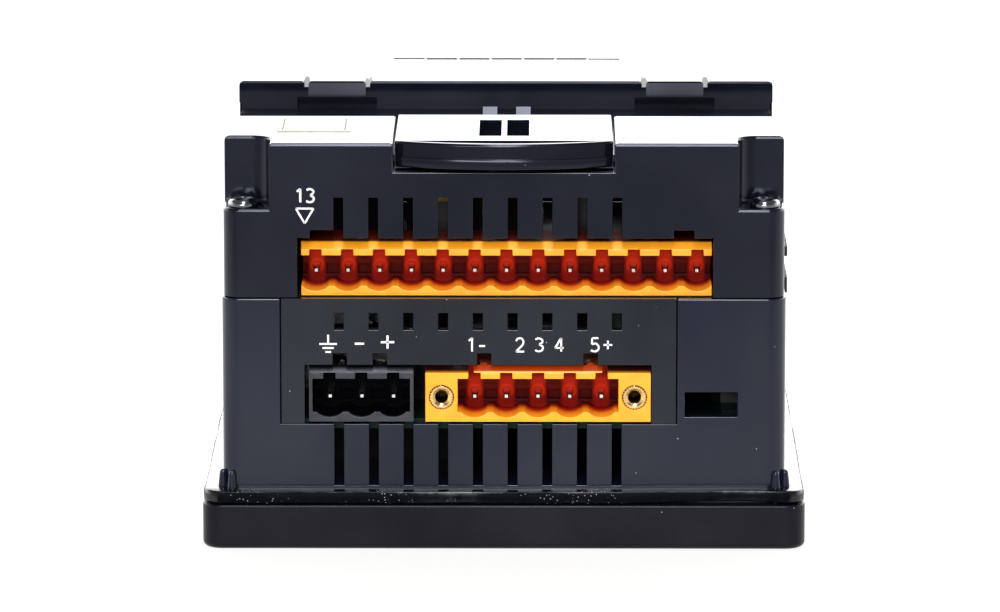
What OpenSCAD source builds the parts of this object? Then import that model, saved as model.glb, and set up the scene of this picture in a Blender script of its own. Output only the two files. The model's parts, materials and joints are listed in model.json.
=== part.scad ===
// Panel-mounted programmable logic controller with operator display, lying on its front bezel.
// The origin is the centre of the bezel's front face. +Z points to the rear of the controller,
// and -Y is the side that holds the power, bus and input/output headers.

/* [Bezel] */
// Side of the square front bezel
bezel_w = 96.5; // [95:0.5:110]
// Thickness of the bezel from front to back
bezel_h = 7.2; // [6.9:0.1:9]
// Radius of the bezel's four corners
bezel_corner_r = 3.2; // [2:0.1:8]
// Rounding of the bezel's front edge
bezel_edge_r = 1; // [0.5:0.1:2.5]
// Side of the square pocket behind the bezel's plate
bezel_pocket_w = 86; // [85.5:0.5:86.1]
// Thickness of the bezel's front plate
bezel_plate_t = 1.8; // [1.6:0.1:2.2]
// How far the rim stands proud of the front sheet
rim_proud = 0.2; // [0.1:0.05:0.4]

/* [Front sheet and keys] */
// Width of the front sheet
sheet_w = 88; // [84:0.5:90]
// Thickness of the front sheet
sheet_t = 0.4; // [0.3:0.05:0.5]
// Number of membrane keys
key_count = 5; // [3:1:5]
// Spacing of the keys
key_pitch = 14.6; // [13:0.1:15]
// Width of one key
key_w = 10.5; // [8:0.5:12]
// Height of one key across the row
key_d = 8; // [6:0.5:9]
// Distance of the row of keys from the middle of the front
key_row_y = 32.5; // [32:0.1:33]
// Thickness of the membrane switch under the sheet
membrane_t = 0.7; // [0.5:0.05:0.8]

/* [Display] */
// Width of the display module
lcd_w = 76.9; // [70:0.1:77]
// Height of the display module across the front
lcd_d = 63.9; // [56:0.1:64]
// Thickness of the display module
lcd_t = 3.2; // [2.8:0.1:3.4]
// Width of the lit picture area
view_w = 71; // [60:0.5:74]
// Height of the lit picture area
view_d = 53.5; // [46:0.5:56]
// Distance from the middle of the front to the middle of the display
lcd_y = 5.5; // [5:0.1:6]
// Thickness of the touch glass
glass_t = 1.1; // [0.9:0.1:1.2]

/* [Gasket] */
// Width of the panel gasket
gasket_w = 96.2; // [93:0.1:96.4]
// Thickness of the panel gasket
gasket_t = 2.2; // [1.5:0.1:2.4]

/* [Main case] */
// Width of the square main case
case_w = 90.1; // [89.6:0.1:91]
// Height of the split between case and cover above the front face
split_z = 40.25; // [39.8:0.05:42]
// Wall of the case and the cover
wall = 2; // [1.8:0.1:2.1]
// Radius of the case's vertical edges
case_corner_r = 3; // [2:0.1:4]
// Height of the case's floor above the front face
case_floor_z = 8.2; // [8.1:0.05:8.4]
// Thickness of the case's floor
case_floor_t = 1.5; // [1.2:0.1:1.6]
// Radius of the paired bumps at the case's lower corners
corner_bump_r = 0.8; // [0.5:0.05:0.9]
// Height of the paired bumps above the bezel
corner_bump_h = 5; // [3:0.1:6]

/* [Vents] */
// Number of vent slots in each row
vent_count = 9; // [5:1:9]
// Spacing of the vent slots
vent_pitch = 5.55; // [5:0.05:5.6]
// Width of a vent slot
vent_w = 1.5; // [1:0.1:2]
// Place of the first vent slot, left of the middle
vent_start = 26.35; // [26:0.05:26.5]

/* [Cover] */
// Width of the square rear cover
cover_w = 89.5; // [88.6:0.1:89.7]
// Height of the cover's rear face above the front face
cover_top_z = 65.3; // [64.6:0.1:68]
// Radius of the cover's vertical edges
cover_corner_r = 2.6; // [1.5:0.1:3]
// Depth of the screw notch in each corner, from both outer faces
notch_d = 7.4; // [7:0.1:7.8]
// Height of the screw notch above its ledge
notch_h = 10.6; // [9:0.1:11]
// Fillet in the screw notch's inner corner
notch_fillet = 3; // [1.5:0.1:3.5]
// Distance of a cover screw from both outer faces
screw_inset = 3.15; // [2.7:0.05:3.3]
// Radius of a cover screw's head
screw_head_r = 2.45; // [2:0.05:2.5]
// Length of a cover screw under its head
screw_len = 25; // [22:0.5:27]

/* [Rail channel and latch] */
// Width of the channel for the mounting rail
rail_w = 35.5; // [35.3:0.1:36]
// Depth of the channel
rail_depth = 4.7; // [4.1:0.1:4.8]
// How far the fixed hooks and the latch reach over the rail
hook_reach = 1.15; // [0.8:0.05:1.4]
// Thickness of the fixed hooks
hook_t = 2.5; // [2.2:0.1:2.7]
// Width of a fixed hook
hook_w = 9.6; // [8:0.1:11]
// Distance of a fixed hook from the middle
hook_x = 28.3; // [26:0.1:30]
// Width of the latch plate
latch_w = 34.8; // [33:0.1:36]
// Gap between the latch and its recess
latch_gap = 0.25; // [0.2:0.05:0.3]
// How far the latch slides out
latch_travel = 4.5; // [3:0.1:4.6]
// Distance from the cover's rear face to the pull lip's lower edge
lip_h = 4.15; // [3:0.05:4.3]
// How far the pull lip's middle stands out past its ends
lip_bulge = 3.4; // [2:0.1:3.4]
// How far the pull lip's middle stands out of the cover
lip_proud = 1.35; // [0.8:0.05:1.4]

/* [Plug headers] */
// Spacing of the header pins
pin_pitch = 5.08; // [5:0.02:5.1]
// Side of a square header pin
pin_w = 1; // [0.8:0.05:1.2]
// Height of a lower header's front face under its chamfer
header_face_h = 8; // [7.6:0.1:8.1]
// Height of the upper header's front face under its chamfer
io_face_h = 7.5; // [7.3:0.1:7.9]
// Chamfer along a header's upper front edge
header_chamfer = 1.1; // [0.6:0.1:1.2]
// Depth of a header from its front face
header_d = 11.5; // [11:0.1:12]
// Depth of a header's plug cavity
cavity_d = 8.6; // [8:0.1:9]
// Distance of the pin tips behind the front face
pin_setback = 4.2; // [4:0.1:5]
// How far the input and output header sits behind the cover's face
io_setback = 1.6; // [1:0.1:2]
// Number of pins of the input and output header
io_pins_count = 13; // [9:1:13]
// Middle of the input and output header, right of the middle
io_header_x = 0.4; // [0:0.1:0.8]
// Number of pins of the bus header
bus_pins_count = 5; // [3:1:5]
// Middle of the bus header, right of the middle
bus_header_x = 5.46; // [5.4:0.02:5.6]
// Number of pins of the power header
power_pins_count = 3; // [2:1:3]
// Middle of the power header, left of the middle
power_header_x = 22.8; // [22.7:0.05:23.2]
// Radius of the hole in a threaded insert
insert_bore_r = 1.07; // [0.9:0.01:1.2]

/* [Circuit boards] */
// Thickness of every circuit board
board_t = 1.6; // [1.4:0.1:1.7]
// Height of the main board's upper face, where its headers stand
main_board_z = 20.2; // [20.1:0.05:20.4]
// Distance of the board screws from the middle, left and right
spacer_x = 36.5; // [36:0.1:37]
// Distance of the board screws from the middle, front and back
spacer_y = 27; // [26:0.1:28]

/* [Hidden] */

// Small overlap for clean cuts
cut = 0.1;
// Clearance between pieces that are fitted together
fit_gap = 0.1;
// Clearance round a screw thread in its pilot hole
thread_gap = 0.02;
$fn = 48;

// Heights of the front stack
sheet_z = rim_proud;
membrane_z = sheet_z + sheet_t;
glass_z = bezel_plate_t;
lcd_z = glass_z + glass_t;
front_board_z = lcd_z + lcd_t + 0.2;
front_board_top_z = front_board_z + board_t;
front_screw_r = 0.9;
front_boss_r = 2.2;
front_head_h = 1;
front_head_slack = 0.3;
case_screw_r = 0.9;
case_boss_r = 2.1;
case_screw_x = bezel_pocket_w / 2 - case_boss_r - 0.25;
case_screw_y = bezel_pocket_w / 2 - 10;
front_board_w = 2 * (case_screw_x - case_boss_r - 0.55);
front_board_d = bezel_pocket_w - 1.4;
front_screw_x = front_board_w / 2 - 4;
front_screw_y = front_board_d / 2 - front_boss_r + 0.1;
key_recess_w = key_pitch * (key_count - 1) + key_w + 2;
key_recess_d = key_d + 2;
tail_w = 12;
tail_t = 0.3;
tail_y = -key_row_y + key_recess_d / 2;

// Case and its fixings
case_face_y = -case_w / 2;
case_floor_top_z = case_floor_z + case_floor_t;
case_inner_w = case_w - 2 * wall;
case_cut_gap = 0.15;
corner_screw_at = cover_w / 2 - screw_inset;
corner_post_r = 2.8;
screw_r = 1.25;
screw_slack = 0.2;
screw_head_h = 1.4;
ledge_z = cover_top_z - notch_h;
pilot_depth = screw_len - (ledge_z - split_z) + 1;

// Places of the two bumps at one corner, measured along the two walls
corner_bump_spots = [[case_w / 2, case_w / 2 - 1.5], [case_w / 2 - 1.5, case_w / 2]];
bump_gap = 0.25;
bump_top_r = corner_bump_r - 0.25;
gasket_foot_h = 0.5;
gasket_foot_inset = 0.9;

// Connector panel in the case's near wall
panel_x0 = 9.45 - case_w / 2;
panel_x1 = case_w / 2 - 17.5;
panel_z0 = 19.85;
panel_gap = 0.15;
panel_open_x0 = -31.8;
panel_open_x1 = 23.55;
panel_open_top_z = 29.45;
key_hump_w = 1.9;
key_hump_h = 0.35;
power_hump_xs = [-3.4, 3];
bus_hump_xs = [-8.6, 8.4];
panel_notch_w = 2.2;
panel_notch_h = 1.9;

// Slots for the panel-mounting brackets, one in each wall of the case
clip_slot_x = case_w / 2 - 11.9;
clip_slot_w = 8.4;
clip_slot_z0 = 21.05;
clip_slot_h = 4;

// Vent heights
low_vent_z0 = case_floor_top_z + 0.15;
low_vent_z1 = panel_z0 + cut;
panel_vent_z0 = 35.2;
panel_vent_z1 = 37.9;
cover_vent_z1 = 56.55;
far_vent_z0 = 28;
far_vent_z1 = split_z - 4.25;

// Cover
cover_z0 = split_z + fit_gap;
cover_face_y = -cover_w / 2;
cover_inner_w = cover_w - 2 * wall;
rail_floor_z = cover_top_z - rail_depth;
roof_z = rail_floor_z - wall;
block_roof_z = cover_top_z - wall;
rail_relief = 0.45;
rail_relief_h = 2.2;
rail_relief_top = 1;
hook_slot_w = 13.4;
hook_slot_d = 2.5;
hook_nick_w = 0.7;
hook_nick_h = 1;
hook_nick_l = 6;
hook_tip_h = 0.6;
hook_nose_l = 0.95;
ramp_w = 2.4;
ramp_l = 6.5;
ramp_h = 1.25;
ramp_xs = [-2.6, 2.95];
header_open_z1 = 50;
header_open_x0 = -32.95;
header_open_x1 = 33.35;
left_step = [-30.9, -26.1];
right_step = [27.1, 30.3];
step_h = 1.3;
far_groove_count = 7;
far_groove_l = 4.5;
far_groove_w = 1.1;
far_groove_depth = 0.22;
far_groove_y = cover_w / 2 - 2.75;

// Latch
recess_w = latch_w + 2 * latch_gap;
latch_z0 = rail_floor_z + 0.3;
tongue_reach = 1.2;
tongue_h = 1.1;
tongue_y0 = cover_face_y + 8.45;
tongue_y1 = -rail_w / 2 - 2.25;
groove_gap = 0.2;
spring_x = 10;
spring_w = 2.7;
spring_h = 2.2;
spring_strip_t = 0.3;
spring_bends = 17;
trough_w = 3.4;
trough_h = 3;
trough_y0 = cover_face_y + 4.85;
trough_y1 = -rail_w / 2 - 6.25;
stop_w = 2.6;
stop_l = 2;
stop_h = 2.6;
lip_half = latch_w / 2 - 0.15;
lip_r = (lip_half * lip_half + lip_bulge * lip_bulge) / (2 * lip_bulge);
lip_front_y = cover_face_y - lip_proud;
lip_centre_y = lip_front_y + lip_r;
lip_root_y = lip_front_y + lip_bulge + 0.8;
lip_step = 0.3;
lip_z0 = cover_top_z - lip_h;
lip_step_z = lip_z0 + 1.7;
lip_chamfer = 0.35;
lip_drop = 0.35;
lip_top_z = cover_top_z - lip_drop;
lip_groove_y = lip_root_y;
lip_groove_half = 16.2;
lip_groove_bow = 2.6;
lip_groove_h = 0.5;
lip_groove_r = (lip_groove_half * lip_groove_half + lip_groove_bow * lip_groove_bow)
    / (2 * lip_groove_bow);
window_w = 3.5;
window_gap = 0.95;
window_y0 = cover_face_y + 7.55;
window_y1 = -rail_w / 2 - 3.9;

// Headers
header_h = header_face_h + header_chamfer;
tooth_h = 1;
tooth_slot_w = 1.95;
scallop_floor = 0.75;
scallop_rise = 0.85;
scallop_half = 2.1;
scallop_r = (scallop_half * scallop_half + scallop_rise * scallop_rise) / (2 * scallop_rise);
pin_z = 3.35;
pin_hole_r = 0.78;
pin_hole_d = 0.35;
pin_hole_gap = 0.02;
pocket_w = 2.1;
pocket_z0 = 2;
pocket_h = 1.7;
pocket_d = 1.6;
bar_h = 0.8;
bar_d = 0.5;
open_margin = 2.3;
cavity_margin = 2.7;
power_end_wall = 0.6;
flange_w = 5.15;
insert_at = 2.57;
insert_r = 1.98;
insert_len = 8;
pin_leg_y = header_d + 0.9;
pin_tail = 1.6;
pin_drill_r = 0.85;
io_header_y = cover_face_y + io_setback;
low_header_y = case_face_y + 0.05;

// Boards
main_board_z0 = main_board_z - board_t;
board_side_gap = 0.75;
main_board_w = case_inner_w - 2 * board_side_gap;
post_gap = 3.45;
main_board_cut = main_board_w / 2 - corner_screw_at + corner_post_r + post_gap;
io_board_z = split_z + 0.15;
io_board_z0 = io_board_z - board_t;
io_board_w = cover_inner_w - 2 * board_side_gap;
spacer_r = 2.9;
spacer_stud_r = 1.25;
spacer_stud_l = 7;
spacer_bore_d = 6;
board_hole_r = 1.5;
case_standoff_r = 3;
board_screw_head_r = 2.3;
board_screw_head_h = 1.6;
board_screw_len = 6;
front_link_x = -20;
front_link_y = -22;
front_link_w = 22;
front_link_d = 5;
front_link_split_z = 13.4;
board_link_x = 27;
board_link_y = 2;
board_link_w = 5;
board_link_d = 26;
board_link_split_z = 29;

// Side port
port_y = 10;
port_w = 10;
port_z0 = 34.6;
port_h = 4.1;
port_flange_w = 15;
port_flange_z0 = 31.7;
port_flange_z1 = 39.9;
port_flange_t = 0.9;
port_grip_t = 0.95;
usb_w = 7.7;
usb_l = 9;
usb_h = 3.9;

// Square with rounded corners, centred on the origin
module rounded_square(w, r) {
    square([w - 2 * r, w], center = true);
    square([w, w - 2 * r], center = true);
    for (x = [-1, 1], y = [-1, 1])
        translate([x * (w / 2 - r), y * (w / 2 - r)])
            circle(r);
}

// Block with rounded vertical edges between two heights
module rounded_block(w, r, z0, z1) {
    translate([0, 0, z0])
        linear_extrude(z1 - z0)
            rounded_square(w, r);
}

// Box between two opposite corners
module box(low, high) {
    translate(low)
        cube(high - low);
}

// The same shape at the four combinations of sides
module four_corners(x, y) {
    for (sx = [-1, 1], sy = [-1, 1])
        translate([sx * x, sy * y, 0])
            children();
}

// Upright cylinder between two heights
module post(r, z0, z1) {
    translate([0, 0, z0])
        cylinder(r = r, h = z1 - z0);
}

// Row of vent slots cut through a wall that faces front or back
module vent_row(y0, y1, z0, z1) {
    for (i = [0 : vent_count - 1])
        box([-vent_start + i * vent_pitch - vent_w / 2, y0, z0],
            [-vent_start + i * vent_pitch + vent_w / 2, y1, z1]);
}

// Pan-head screw with its head standing on height z
module pan_screw(head_r, head_h, shank_r, length, z) {
    difference() {
        union() {
            post(head_r, z, z + head_h * 0.6);
            translate([0, 0, z + head_h * 0.6])
                cylinder(r1 = head_r, r2 = head_r * 0.7, h = head_h * 0.4);
            post(shank_r, z - length, z + cut);
        }
        for (turn = [0, 90])
            translate([0, 0, z + head_h])
                rotate([0, 0, turn])
                    cube([head_r * 1.2, head_r * 0.3, head_h * 1.1], center = true);
    }
}

// Bezel with its front plate, window, key recess and bosses
module front_bezel() {
    color("#1d1e22")
    difference() {
        union() {
            difference() {
                rounded_block(bezel_w, bezel_corner_r, bezel_edge_r, bezel_h);
                rounded_block(bezel_pocket_w, bezel_corner_r - 2, bezel_plate_t, bezel_h + cut);
            }
            rounded_front_edge();
            four_corners(case_screw_x, case_screw_y)
                post(case_boss_r, bezel_plate_t - cut, case_floor_z);
            four_corners(front_screw_x, front_screw_y)
                post(front_boss_r, bezel_plate_t - cut, front_board_z);
        }
        rounded_block(sheet_w + 2 * fit_gap, bezel_corner_r - 1, -cut, sheet_z + sheet_t);
        box([-view_w / 2, lcd_y - view_d / 2, -cut],
            [view_w / 2, lcd_y + view_d / 2, bezel_plate_t + cut]);
        box([-key_recess_w / 2 - fit_gap, -key_row_y - key_recess_d / 2 - fit_gap, -cut],
            [key_recess_w / 2 + fit_gap, -key_row_y + key_recess_d / 2 + fit_gap,
             membrane_z + membrane_t]);
        box([-tail_w / 2 - 0.5, tail_y - tail_t - 0.3, -cut],
            [tail_w / 2 + 0.5, tail_y + fit_gap, bezel_plate_t + cut]);
        four_corners(case_screw_x, case_screw_y)
            post(case_screw_r + thread_gap, bezel_plate_t + 0.6, case_floor_z + cut);
        four_corners(front_screw_x, front_screw_y)
            post(front_screw_r + thread_gap, bezel_plate_t + 0.4, front_board_z + cut);
    }
}

// Front layer of the bezel, whose outer edge is rounded
module rounded_front_edge() {
    inner = bezel_w - 2 * bezel_edge_r;
    corner = max(bezel_corner_r - bezel_edge_r, 0.5);
    rounded_block(inner, corner, 0, bezel_edge_r + cut);
    straight = bezel_w / 2 - bezel_corner_r;
    for (side = [0 : 3])
        rotate([0, 0, side * 90])
            translate([bezel_w / 2 - bezel_edge_r, -straight, bezel_edge_r])
                rotate([-90, 0, 0])
                    intersection() {
                        cylinder(r = bezel_edge_r, h = 2 * straight);
                        cube([bezel_edge_r + cut, bezel_edge_r + cut, 2 * straight]);
                    }
    four_corners(straight, straight)
        translate([0, 0, bezel_edge_r])
            rotate_extrude()
                intersection() {
                    union() {
                        translate([corner, 0])
                            circle(bezel_edge_r);
                        translate([0, -bezel_edge_r])
                            square([corner, bezel_edge_r]);
                    }
                    translate([0, -bezel_edge_r])
                        square([bezel_corner_r + cut, bezel_edge_r]);
                }
}

// Printed sheet over the front, with its keys embossed towards the user
module front_overlay() {
    color("#2b2c30")
    union() {
        rounded_block(sheet_w, bezel_corner_r - 1, sheet_z, sheet_z + sheet_t);
        for (i = [0 : key_count - 1])
            translate([(i - (key_count - 1) / 2) * key_pitch, -key_row_y, sheet_z - 0.12])
                linear_extrude(0.12 + cut)
                    square([key_w, key_d], center = true);
    }
}

// Membrane switch with a flat tail that runs back to the front board
module membrane_switch() {
    color("#c9c3b4")
    union() {
        box([-key_recess_w / 2, -key_row_y - key_recess_d / 2, membrane_z],
            [key_recess_w / 2, -key_row_y + key_recess_d / 2, membrane_z + membrane_t]);
        box([-tail_w / 2, tail_y - tail_t, membrane_z],
            [tail_w / 2, tail_y, front_board_z]);
    }
}

// Touch glass behind the bezel's window
module touch_panel() {
    color("#30383c")
    box([-lcd_w / 2, lcd_y - lcd_d / 2, glass_z], [lcd_w / 2, lcd_y + lcd_d / 2, lcd_z]);
}

// Liquid crystal display in its metal frame
module display_module() {
    color("#a9adb0")
    difference() {
        box([-lcd_w / 2, lcd_y - lcd_d / 2, lcd_z],
            [lcd_w / 2, lcd_y + lcd_d / 2, lcd_z + lcd_t]);
        box([-view_w / 2, lcd_y - view_d / 2, lcd_z - cut],
            [view_w / 2, lcd_y + view_d / 2, lcd_z + 0.4]);
    }
}

// Circuit board outline with its corners cut away
module board_plate(w, d, corner, z0) {
    translate([0, 0, z0])
        linear_extrude(board_t)
            union() {
                square([w - 2 * corner, d], center = true);
                square([w, d - 2 * corner], center = true);
            }
}

// Board that drives the display and reads the keys
module front_board() {
    color("#1f5a3a")
    difference() {
        board_plate(front_board_w, front_board_d, 0.5, front_board_z);
        four_corners(front_screw_x, front_screw_y)
            post(front_screw_r + screw_slack, front_board_z - cut, front_board_top_z + cut);
    }
}

// Screws that hold the front board to the bezel
module front_board_screws() {
    color("#c8cacc")
    four_corners(front_screw_x, front_screw_y)
        union() {
            post(front_screw_r, front_board_z - 3.5, front_board_top_z + cut);
            post(front_screw_r * 2, front_board_top_z, front_board_top_z + front_head_h);
        }
}

// Plug on the front board's rear face
module front_connector() {
    color("#26282b")
    translate([front_link_x, front_link_y, 0])
        box([-front_link_w / 2, -front_link_d / 2, front_board_top_z],
            [front_link_w / 2, front_link_d / 2, front_link_split_z]);
}

// Socket under the main board that meets the front board's plug
module front_socket() {
    color("#33363a")
    translate([front_link_x, front_link_y, 0])
        box([-front_link_w / 2, -front_link_d / 2, front_link_split_z],
            [front_link_w / 2, front_link_d / 2, main_board_z0]);
}

// Foam ring between the bezel and the cabinet panel
module panel_gasket() {
    color("#17181a")
    difference() {
        union() {
            rounded_block(gasket_w, bezel_corner_r, bezel_h + gasket_foot_h, bezel_h + gasket_t);
            rounded_block(gasket_w - 2 * gasket_foot_inset, bezel_corner_r - gasket_foot_inset,
                bezel_h, bezel_h + gasket_t);
        }
        rounded_block(case_w + 2 * case_cut_gap, case_corner_r, bezel_h - cut,
            bezel_h + gasket_t + cut);
        for (side = [0 : 3], spot = corner_bump_spots)
            rotate([0, 0, side * 90])
                translate([spot[0], spot[1], 0])
                    post(corner_bump_r + bump_gap, bezel_h - cut, bezel_h + gasket_t + cut);
    }
}

// Slot for a mounting bracket in the near wall of the case
module clip_slot() {
    box([clip_slot_x - clip_slot_w / 2, case_face_y - cut, clip_slot_z0],
        [clip_slot_x + clip_slot_w / 2, case_face_y + wall + cut, clip_slot_z0 + clip_slot_h]);
}

// Round-topped bump at a corner of the case
module corner_bump(x, y) {
    translate([x, y, 0])
        union() {
            post(corner_bump_r, bezel_h, bezel_h + gasket_t);
            translate([0, 0, bezel_h + gasket_t])
                cylinder(r1 = corner_bump_r, r2 = bump_top_r,
                    h = corner_bump_h - gasket_t - bump_top_r);
            translate([0, 0, bezel_h + corner_bump_h - bump_top_r])
                sphere(bump_top_r);
        }
}

// Case shell: walls, floor, standoffs and screw posts
module main_case() {
    color("#24262b")
    difference() {
        union() {
            difference() {
                rounded_block(case_w, case_corner_r, bezel_h, split_z);
                rounded_block(case_inner_w, case_corner_r - wall, bezel_h - cut, case_floor_z);
                rounded_block(case_inner_w, case_corner_r - wall, case_floor_top_z, split_z + cut);
            }
            four_corners(corner_screw_at, corner_screw_at)
                post(corner_post_r, case_floor_top_z - cut, split_z);
            four_corners(spacer_x, spacer_y)
                post(case_standoff_r, case_floor_top_z - cut, main_board_z0);
            for (side = [0 : 3], spot = corner_bump_spots)
                rotate([0, 0, side * 90])
                    corner_bump(spot[0], spot[1]);
        }
        panel_cutout();
        vent_row(case_face_y - cut, case_face_y + wall + cut, low_vent_z0, low_vent_z1);
        vent_row(-case_face_y - wall - cut, -case_face_y + cut, far_vent_z0, far_vent_z1);
        for (side = [0 : 3])
            rotate([0, 0, side * 90])
                clip_slot();
        port_hole();
        four_corners(corner_screw_at, corner_screw_at)
            post(screw_r + thread_gap, split_z - pilot_depth, split_z + cut);
        four_corners(spacer_x, spacer_y)
            post(spacer_stud_r + thread_gap, case_floor_top_z, main_board_z0 + cut);
        four_corners(case_screw_x, case_screw_y)
            post(case_screw_r + screw_slack, case_floor_z - cut, case_floor_top_z + cut);
        four_corners(front_screw_x, front_screw_y)
            post(front_screw_r * 2 + front_head_slack, case_floor_z - cut,
                front_board_top_z + front_head_h + 0.15);
        box([front_link_x - front_link_w / 2 - 1, front_link_y - front_link_d / 2 - 1,
             case_floor_z - cut],
            [front_link_x + front_link_w / 2 + 1, front_link_y + front_link_d / 2 + 1,
             case_floor_top_z + cut]);
    }
}

// Opening in the case's near wall that takes the connector panel
module panel_cutout() {
    box([panel_x0 - panel_gap, case_face_y - cut, panel_z0],
        [panel_x1 + panel_gap, case_face_y + wall + cut, split_z + cut]);
}

// Hole in the right wall for the service port
module port_hole() {
    box([case_w / 2 - wall - cut, port_y - port_w / 2, port_z0],
        [case_w / 2 + cut, port_y + port_w / 2, port_z0 + port_h]);
}

// Screws from the case's floor into the bezel
module case_screws() {
    color("#c8cacc")
    four_corners(case_screw_x, case_screw_y)
        pan_screw(case_screw_r * 2.1, 1.3, case_screw_r, 6.2, case_floor_top_z);
}

// Panel with the power and bus openings, its vents and the notches for the header keys
module connector_panel() {
    color("#282a30")
    difference() {
        box([panel_x0, case_face_y, panel_z0], [panel_x1, case_face_y + wall, split_z]);
        box([panel_open_x0, case_face_y - cut, panel_z0 - cut],
            [panel_open_x1, case_face_y + wall + cut, panel_open_top_z]);
        vent_row(case_face_y - cut, case_face_y + wall + cut, panel_vent_z0, panel_vent_z1);
        for (x = power_hump_xs)
            panel_notch(x - power_header_x);
        for (x = bus_hump_xs)
            panel_notch(x + bus_header_x);
    }
}

// Notch above the panel's opening that clears one header key
module panel_notch(x) {
    box([x - panel_notch_w / 2, case_face_y - cut, panel_open_top_z - cut],
        [x + panel_notch_w / 2, case_face_y + wall + cut, panel_open_top_z + panel_notch_h]);
}

// Screw notch in one corner, open to the rear and to both outer faces
module screw_notch() {
    reach = cover_w / 2 - notch_d;
    translate([0, 0, ledge_z])
        linear_extrude(notch_h + cut)
            union() {
                translate([reach + notch_fillet, reach])
                    square([notch_d, notch_d + 1]);
                translate([reach, reach + notch_fillet])
                    square([notch_d + 1, notch_d]);
                translate([reach + notch_fillet, reach + notch_fillet])
                    circle(notch_fillet);
            }
}

// Room inside the cover between two heights, clear of the screw corners
module cover_room(z0, z1, corner) {
    translate([0, 0, z0])
        linear_extrude(z1 - z0)
            union() {
                square([cover_inner_w - 2 * corner, cover_inner_w], center = true);
                square([cover_inner_w, cover_inner_w - 2 * corner], center = true);
            }
}

// Rear cover with the rail channel, its hooks and the screw notches
module io_cover() {
    color("#24262b")
    difference() {
        union() {
            cover_shell();
            for (side = [-1, 1])
                fixed_hook(side * hook_x);
            for (x = ramp_xs)
                channel_ramp(x);
            for (side = [-1, 1])
                latch_stop(side * spring_x);
            four_corners(corner_screw_at, corner_screw_at)
                post(corner_post_r, cover_z0, ledge_z);
        }
        four_corners(corner_screw_at, corner_screw_at)
            post(screw_r + screw_slack, cover_z0 - cut, ledge_z + cut);
    }
}

// Cover without its hooks, ramps and posts
module cover_shell() {
    corner = notch_d;
    difference() {
        rounded_block(cover_w, cover_corner_r, cover_z0, cover_top_z);
        rounded_block(cover_inner_w, 1, cover_z0 - cut, ledge_z - wall);
        cover_room(ledge_z - wall - cut, roof_z, corner);
        for (side = [-1, 1])
            near_block_room(side);
        box([-cover_inner_w / 2 + corner, rail_w / 2 + wall + hook_slot_d, roof_z - cut],
            [cover_inner_w / 2 - corner, cover_inner_w / 2, block_roof_z]);
        for (turn = [0 : 3])
            rotate([0, 0, turn * 90])
                screw_notch();
        box([-cover_w, -rail_w / 2, rail_floor_z], [cover_w, rail_w / 2, cover_top_z + cut]);
        for (side = [-1, 1])
            box([side * cover_w / 2 - rail_relief, -rail_w / 2 - 2, rail_floor_z - rail_relief_h],
                [side * cover_w / 2 + rail_relief, rail_w / 2 + 2, rail_floor_z + rail_relief_top]);
        for (side = [-1, 1])
            hook_cuts(side * hook_x);
        latch_recess();
        header_opening();
        vent_row(cover_face_y - cut, cover_face_y + wall + cut,
            header_open_z1 - cut, cover_vent_z1);
        vent_row(-cover_face_y - wall - cut, -cover_face_y + cut,
            header_open_z1, cover_vent_z1);
        far_grooves();
    }
}

// Room in the block beside the latch recess
module near_block_room(side) {
    inner = recess_w / 2 + tongue_reach + 1.6;
    outer = cover_inner_w / 2 - notch_d;
    box([side * (inner + outer) / 2 - (outer - inner) / 2, cover_face_y + wall, roof_z - cut],
        [side * (inner + outer) / 2 + (outer - inner) / 2, -rail_w / 2 - wall, block_roof_z]);
}

// Opening in the cover's near wall for the input and output header
module header_opening() {
    box([header_open_x0, cover_face_y - cut, cover_z0 - cut],
        [header_open_x1, cover_face_y + wall + cut, header_open_z1]);
    for (step = [left_step, right_step])
        box([step[0], cover_face_y - cut, header_open_z1 - cut],
            [step[1], cover_face_y + wall + cut, header_open_z1 + step_h]);
}

// Shallow grip grooves along the far edge of the rear face
module far_grooves() {
    for (i = [0 : far_groove_count - 1])
        translate([(i - (far_groove_count - 1) / 2) * vent_pitch, far_groove_y, cover_top_z])
            cube([far_groove_l, far_groove_w, 2 * far_groove_depth], center = true);
}

// Recess in which the latch slides, with a groove along each side
module latch_recess() {
    box([-recess_w / 2, cover_face_y - cut, rail_floor_z],
        [recess_w / 2, -rail_w / 2 + cut, cover_top_z + cut]);
    box([-recess_w / 2 - tongue_reach, tongue_y0 - latch_travel - groove_gap,
         latch_z0 + 0.1 - groove_gap],
        [recess_w / 2 + tongue_reach, -rail_w / 2 + cut, latch_z0 + 0.1 + tongue_h + groove_gap]);
}

// Pocket under a fixed hook and the nicks beside it
module hook_cuts(x) {
    box([x - hook_slot_w / 2, rail_w / 2 - cut, rail_floor_z],
        [x + hook_slot_w / 2, rail_w / 2 + hook_slot_d, cover_top_z - hook_t - 0.2]);
    for (side = [-1, 1])
        translate([x + side * (hook_w + hook_nick_w) / 2 - hook_nick_w / 2, rail_w / 2, cover_top_z])
            rotate([90, 0, 90])
                linear_extrude(hook_nick_w)
                    polygon([[-cut, cut], [-cut, -hook_nick_h], [0, -hook_nick_h],
                             [hook_nick_l, cut]]);
}

// Hook that reaches over the far edge of the rail
module fixed_hook(x) {
    translate([x - hook_w / 2, rail_w / 2, cover_top_z])
        rotate([90, 0, 90])
            linear_extrude(hook_w)
                polygon([[0.5, 0], [hook_nose_l - hook_reach, 0], [-hook_reach, hook_tip_h - hook_t],
                         [-hook_reach, -hook_t], [0.5, -hook_t]]);
}

// Small wedge on the channel's floor that catches the inner edge of the rail's flange
module channel_ramp(x) {
    translate([x - ramp_w / 2, rail_w / 2, rail_floor_z])
        rotate([90, 0, 90])
            linear_extrude(ramp_w)
                polygon([[-ramp_l, -0.2], [ramp_h - ramp_l, -0.2], [ramp_h - ramp_l, ramp_h],
                         [-ramp_l, 0]]);
}

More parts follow.
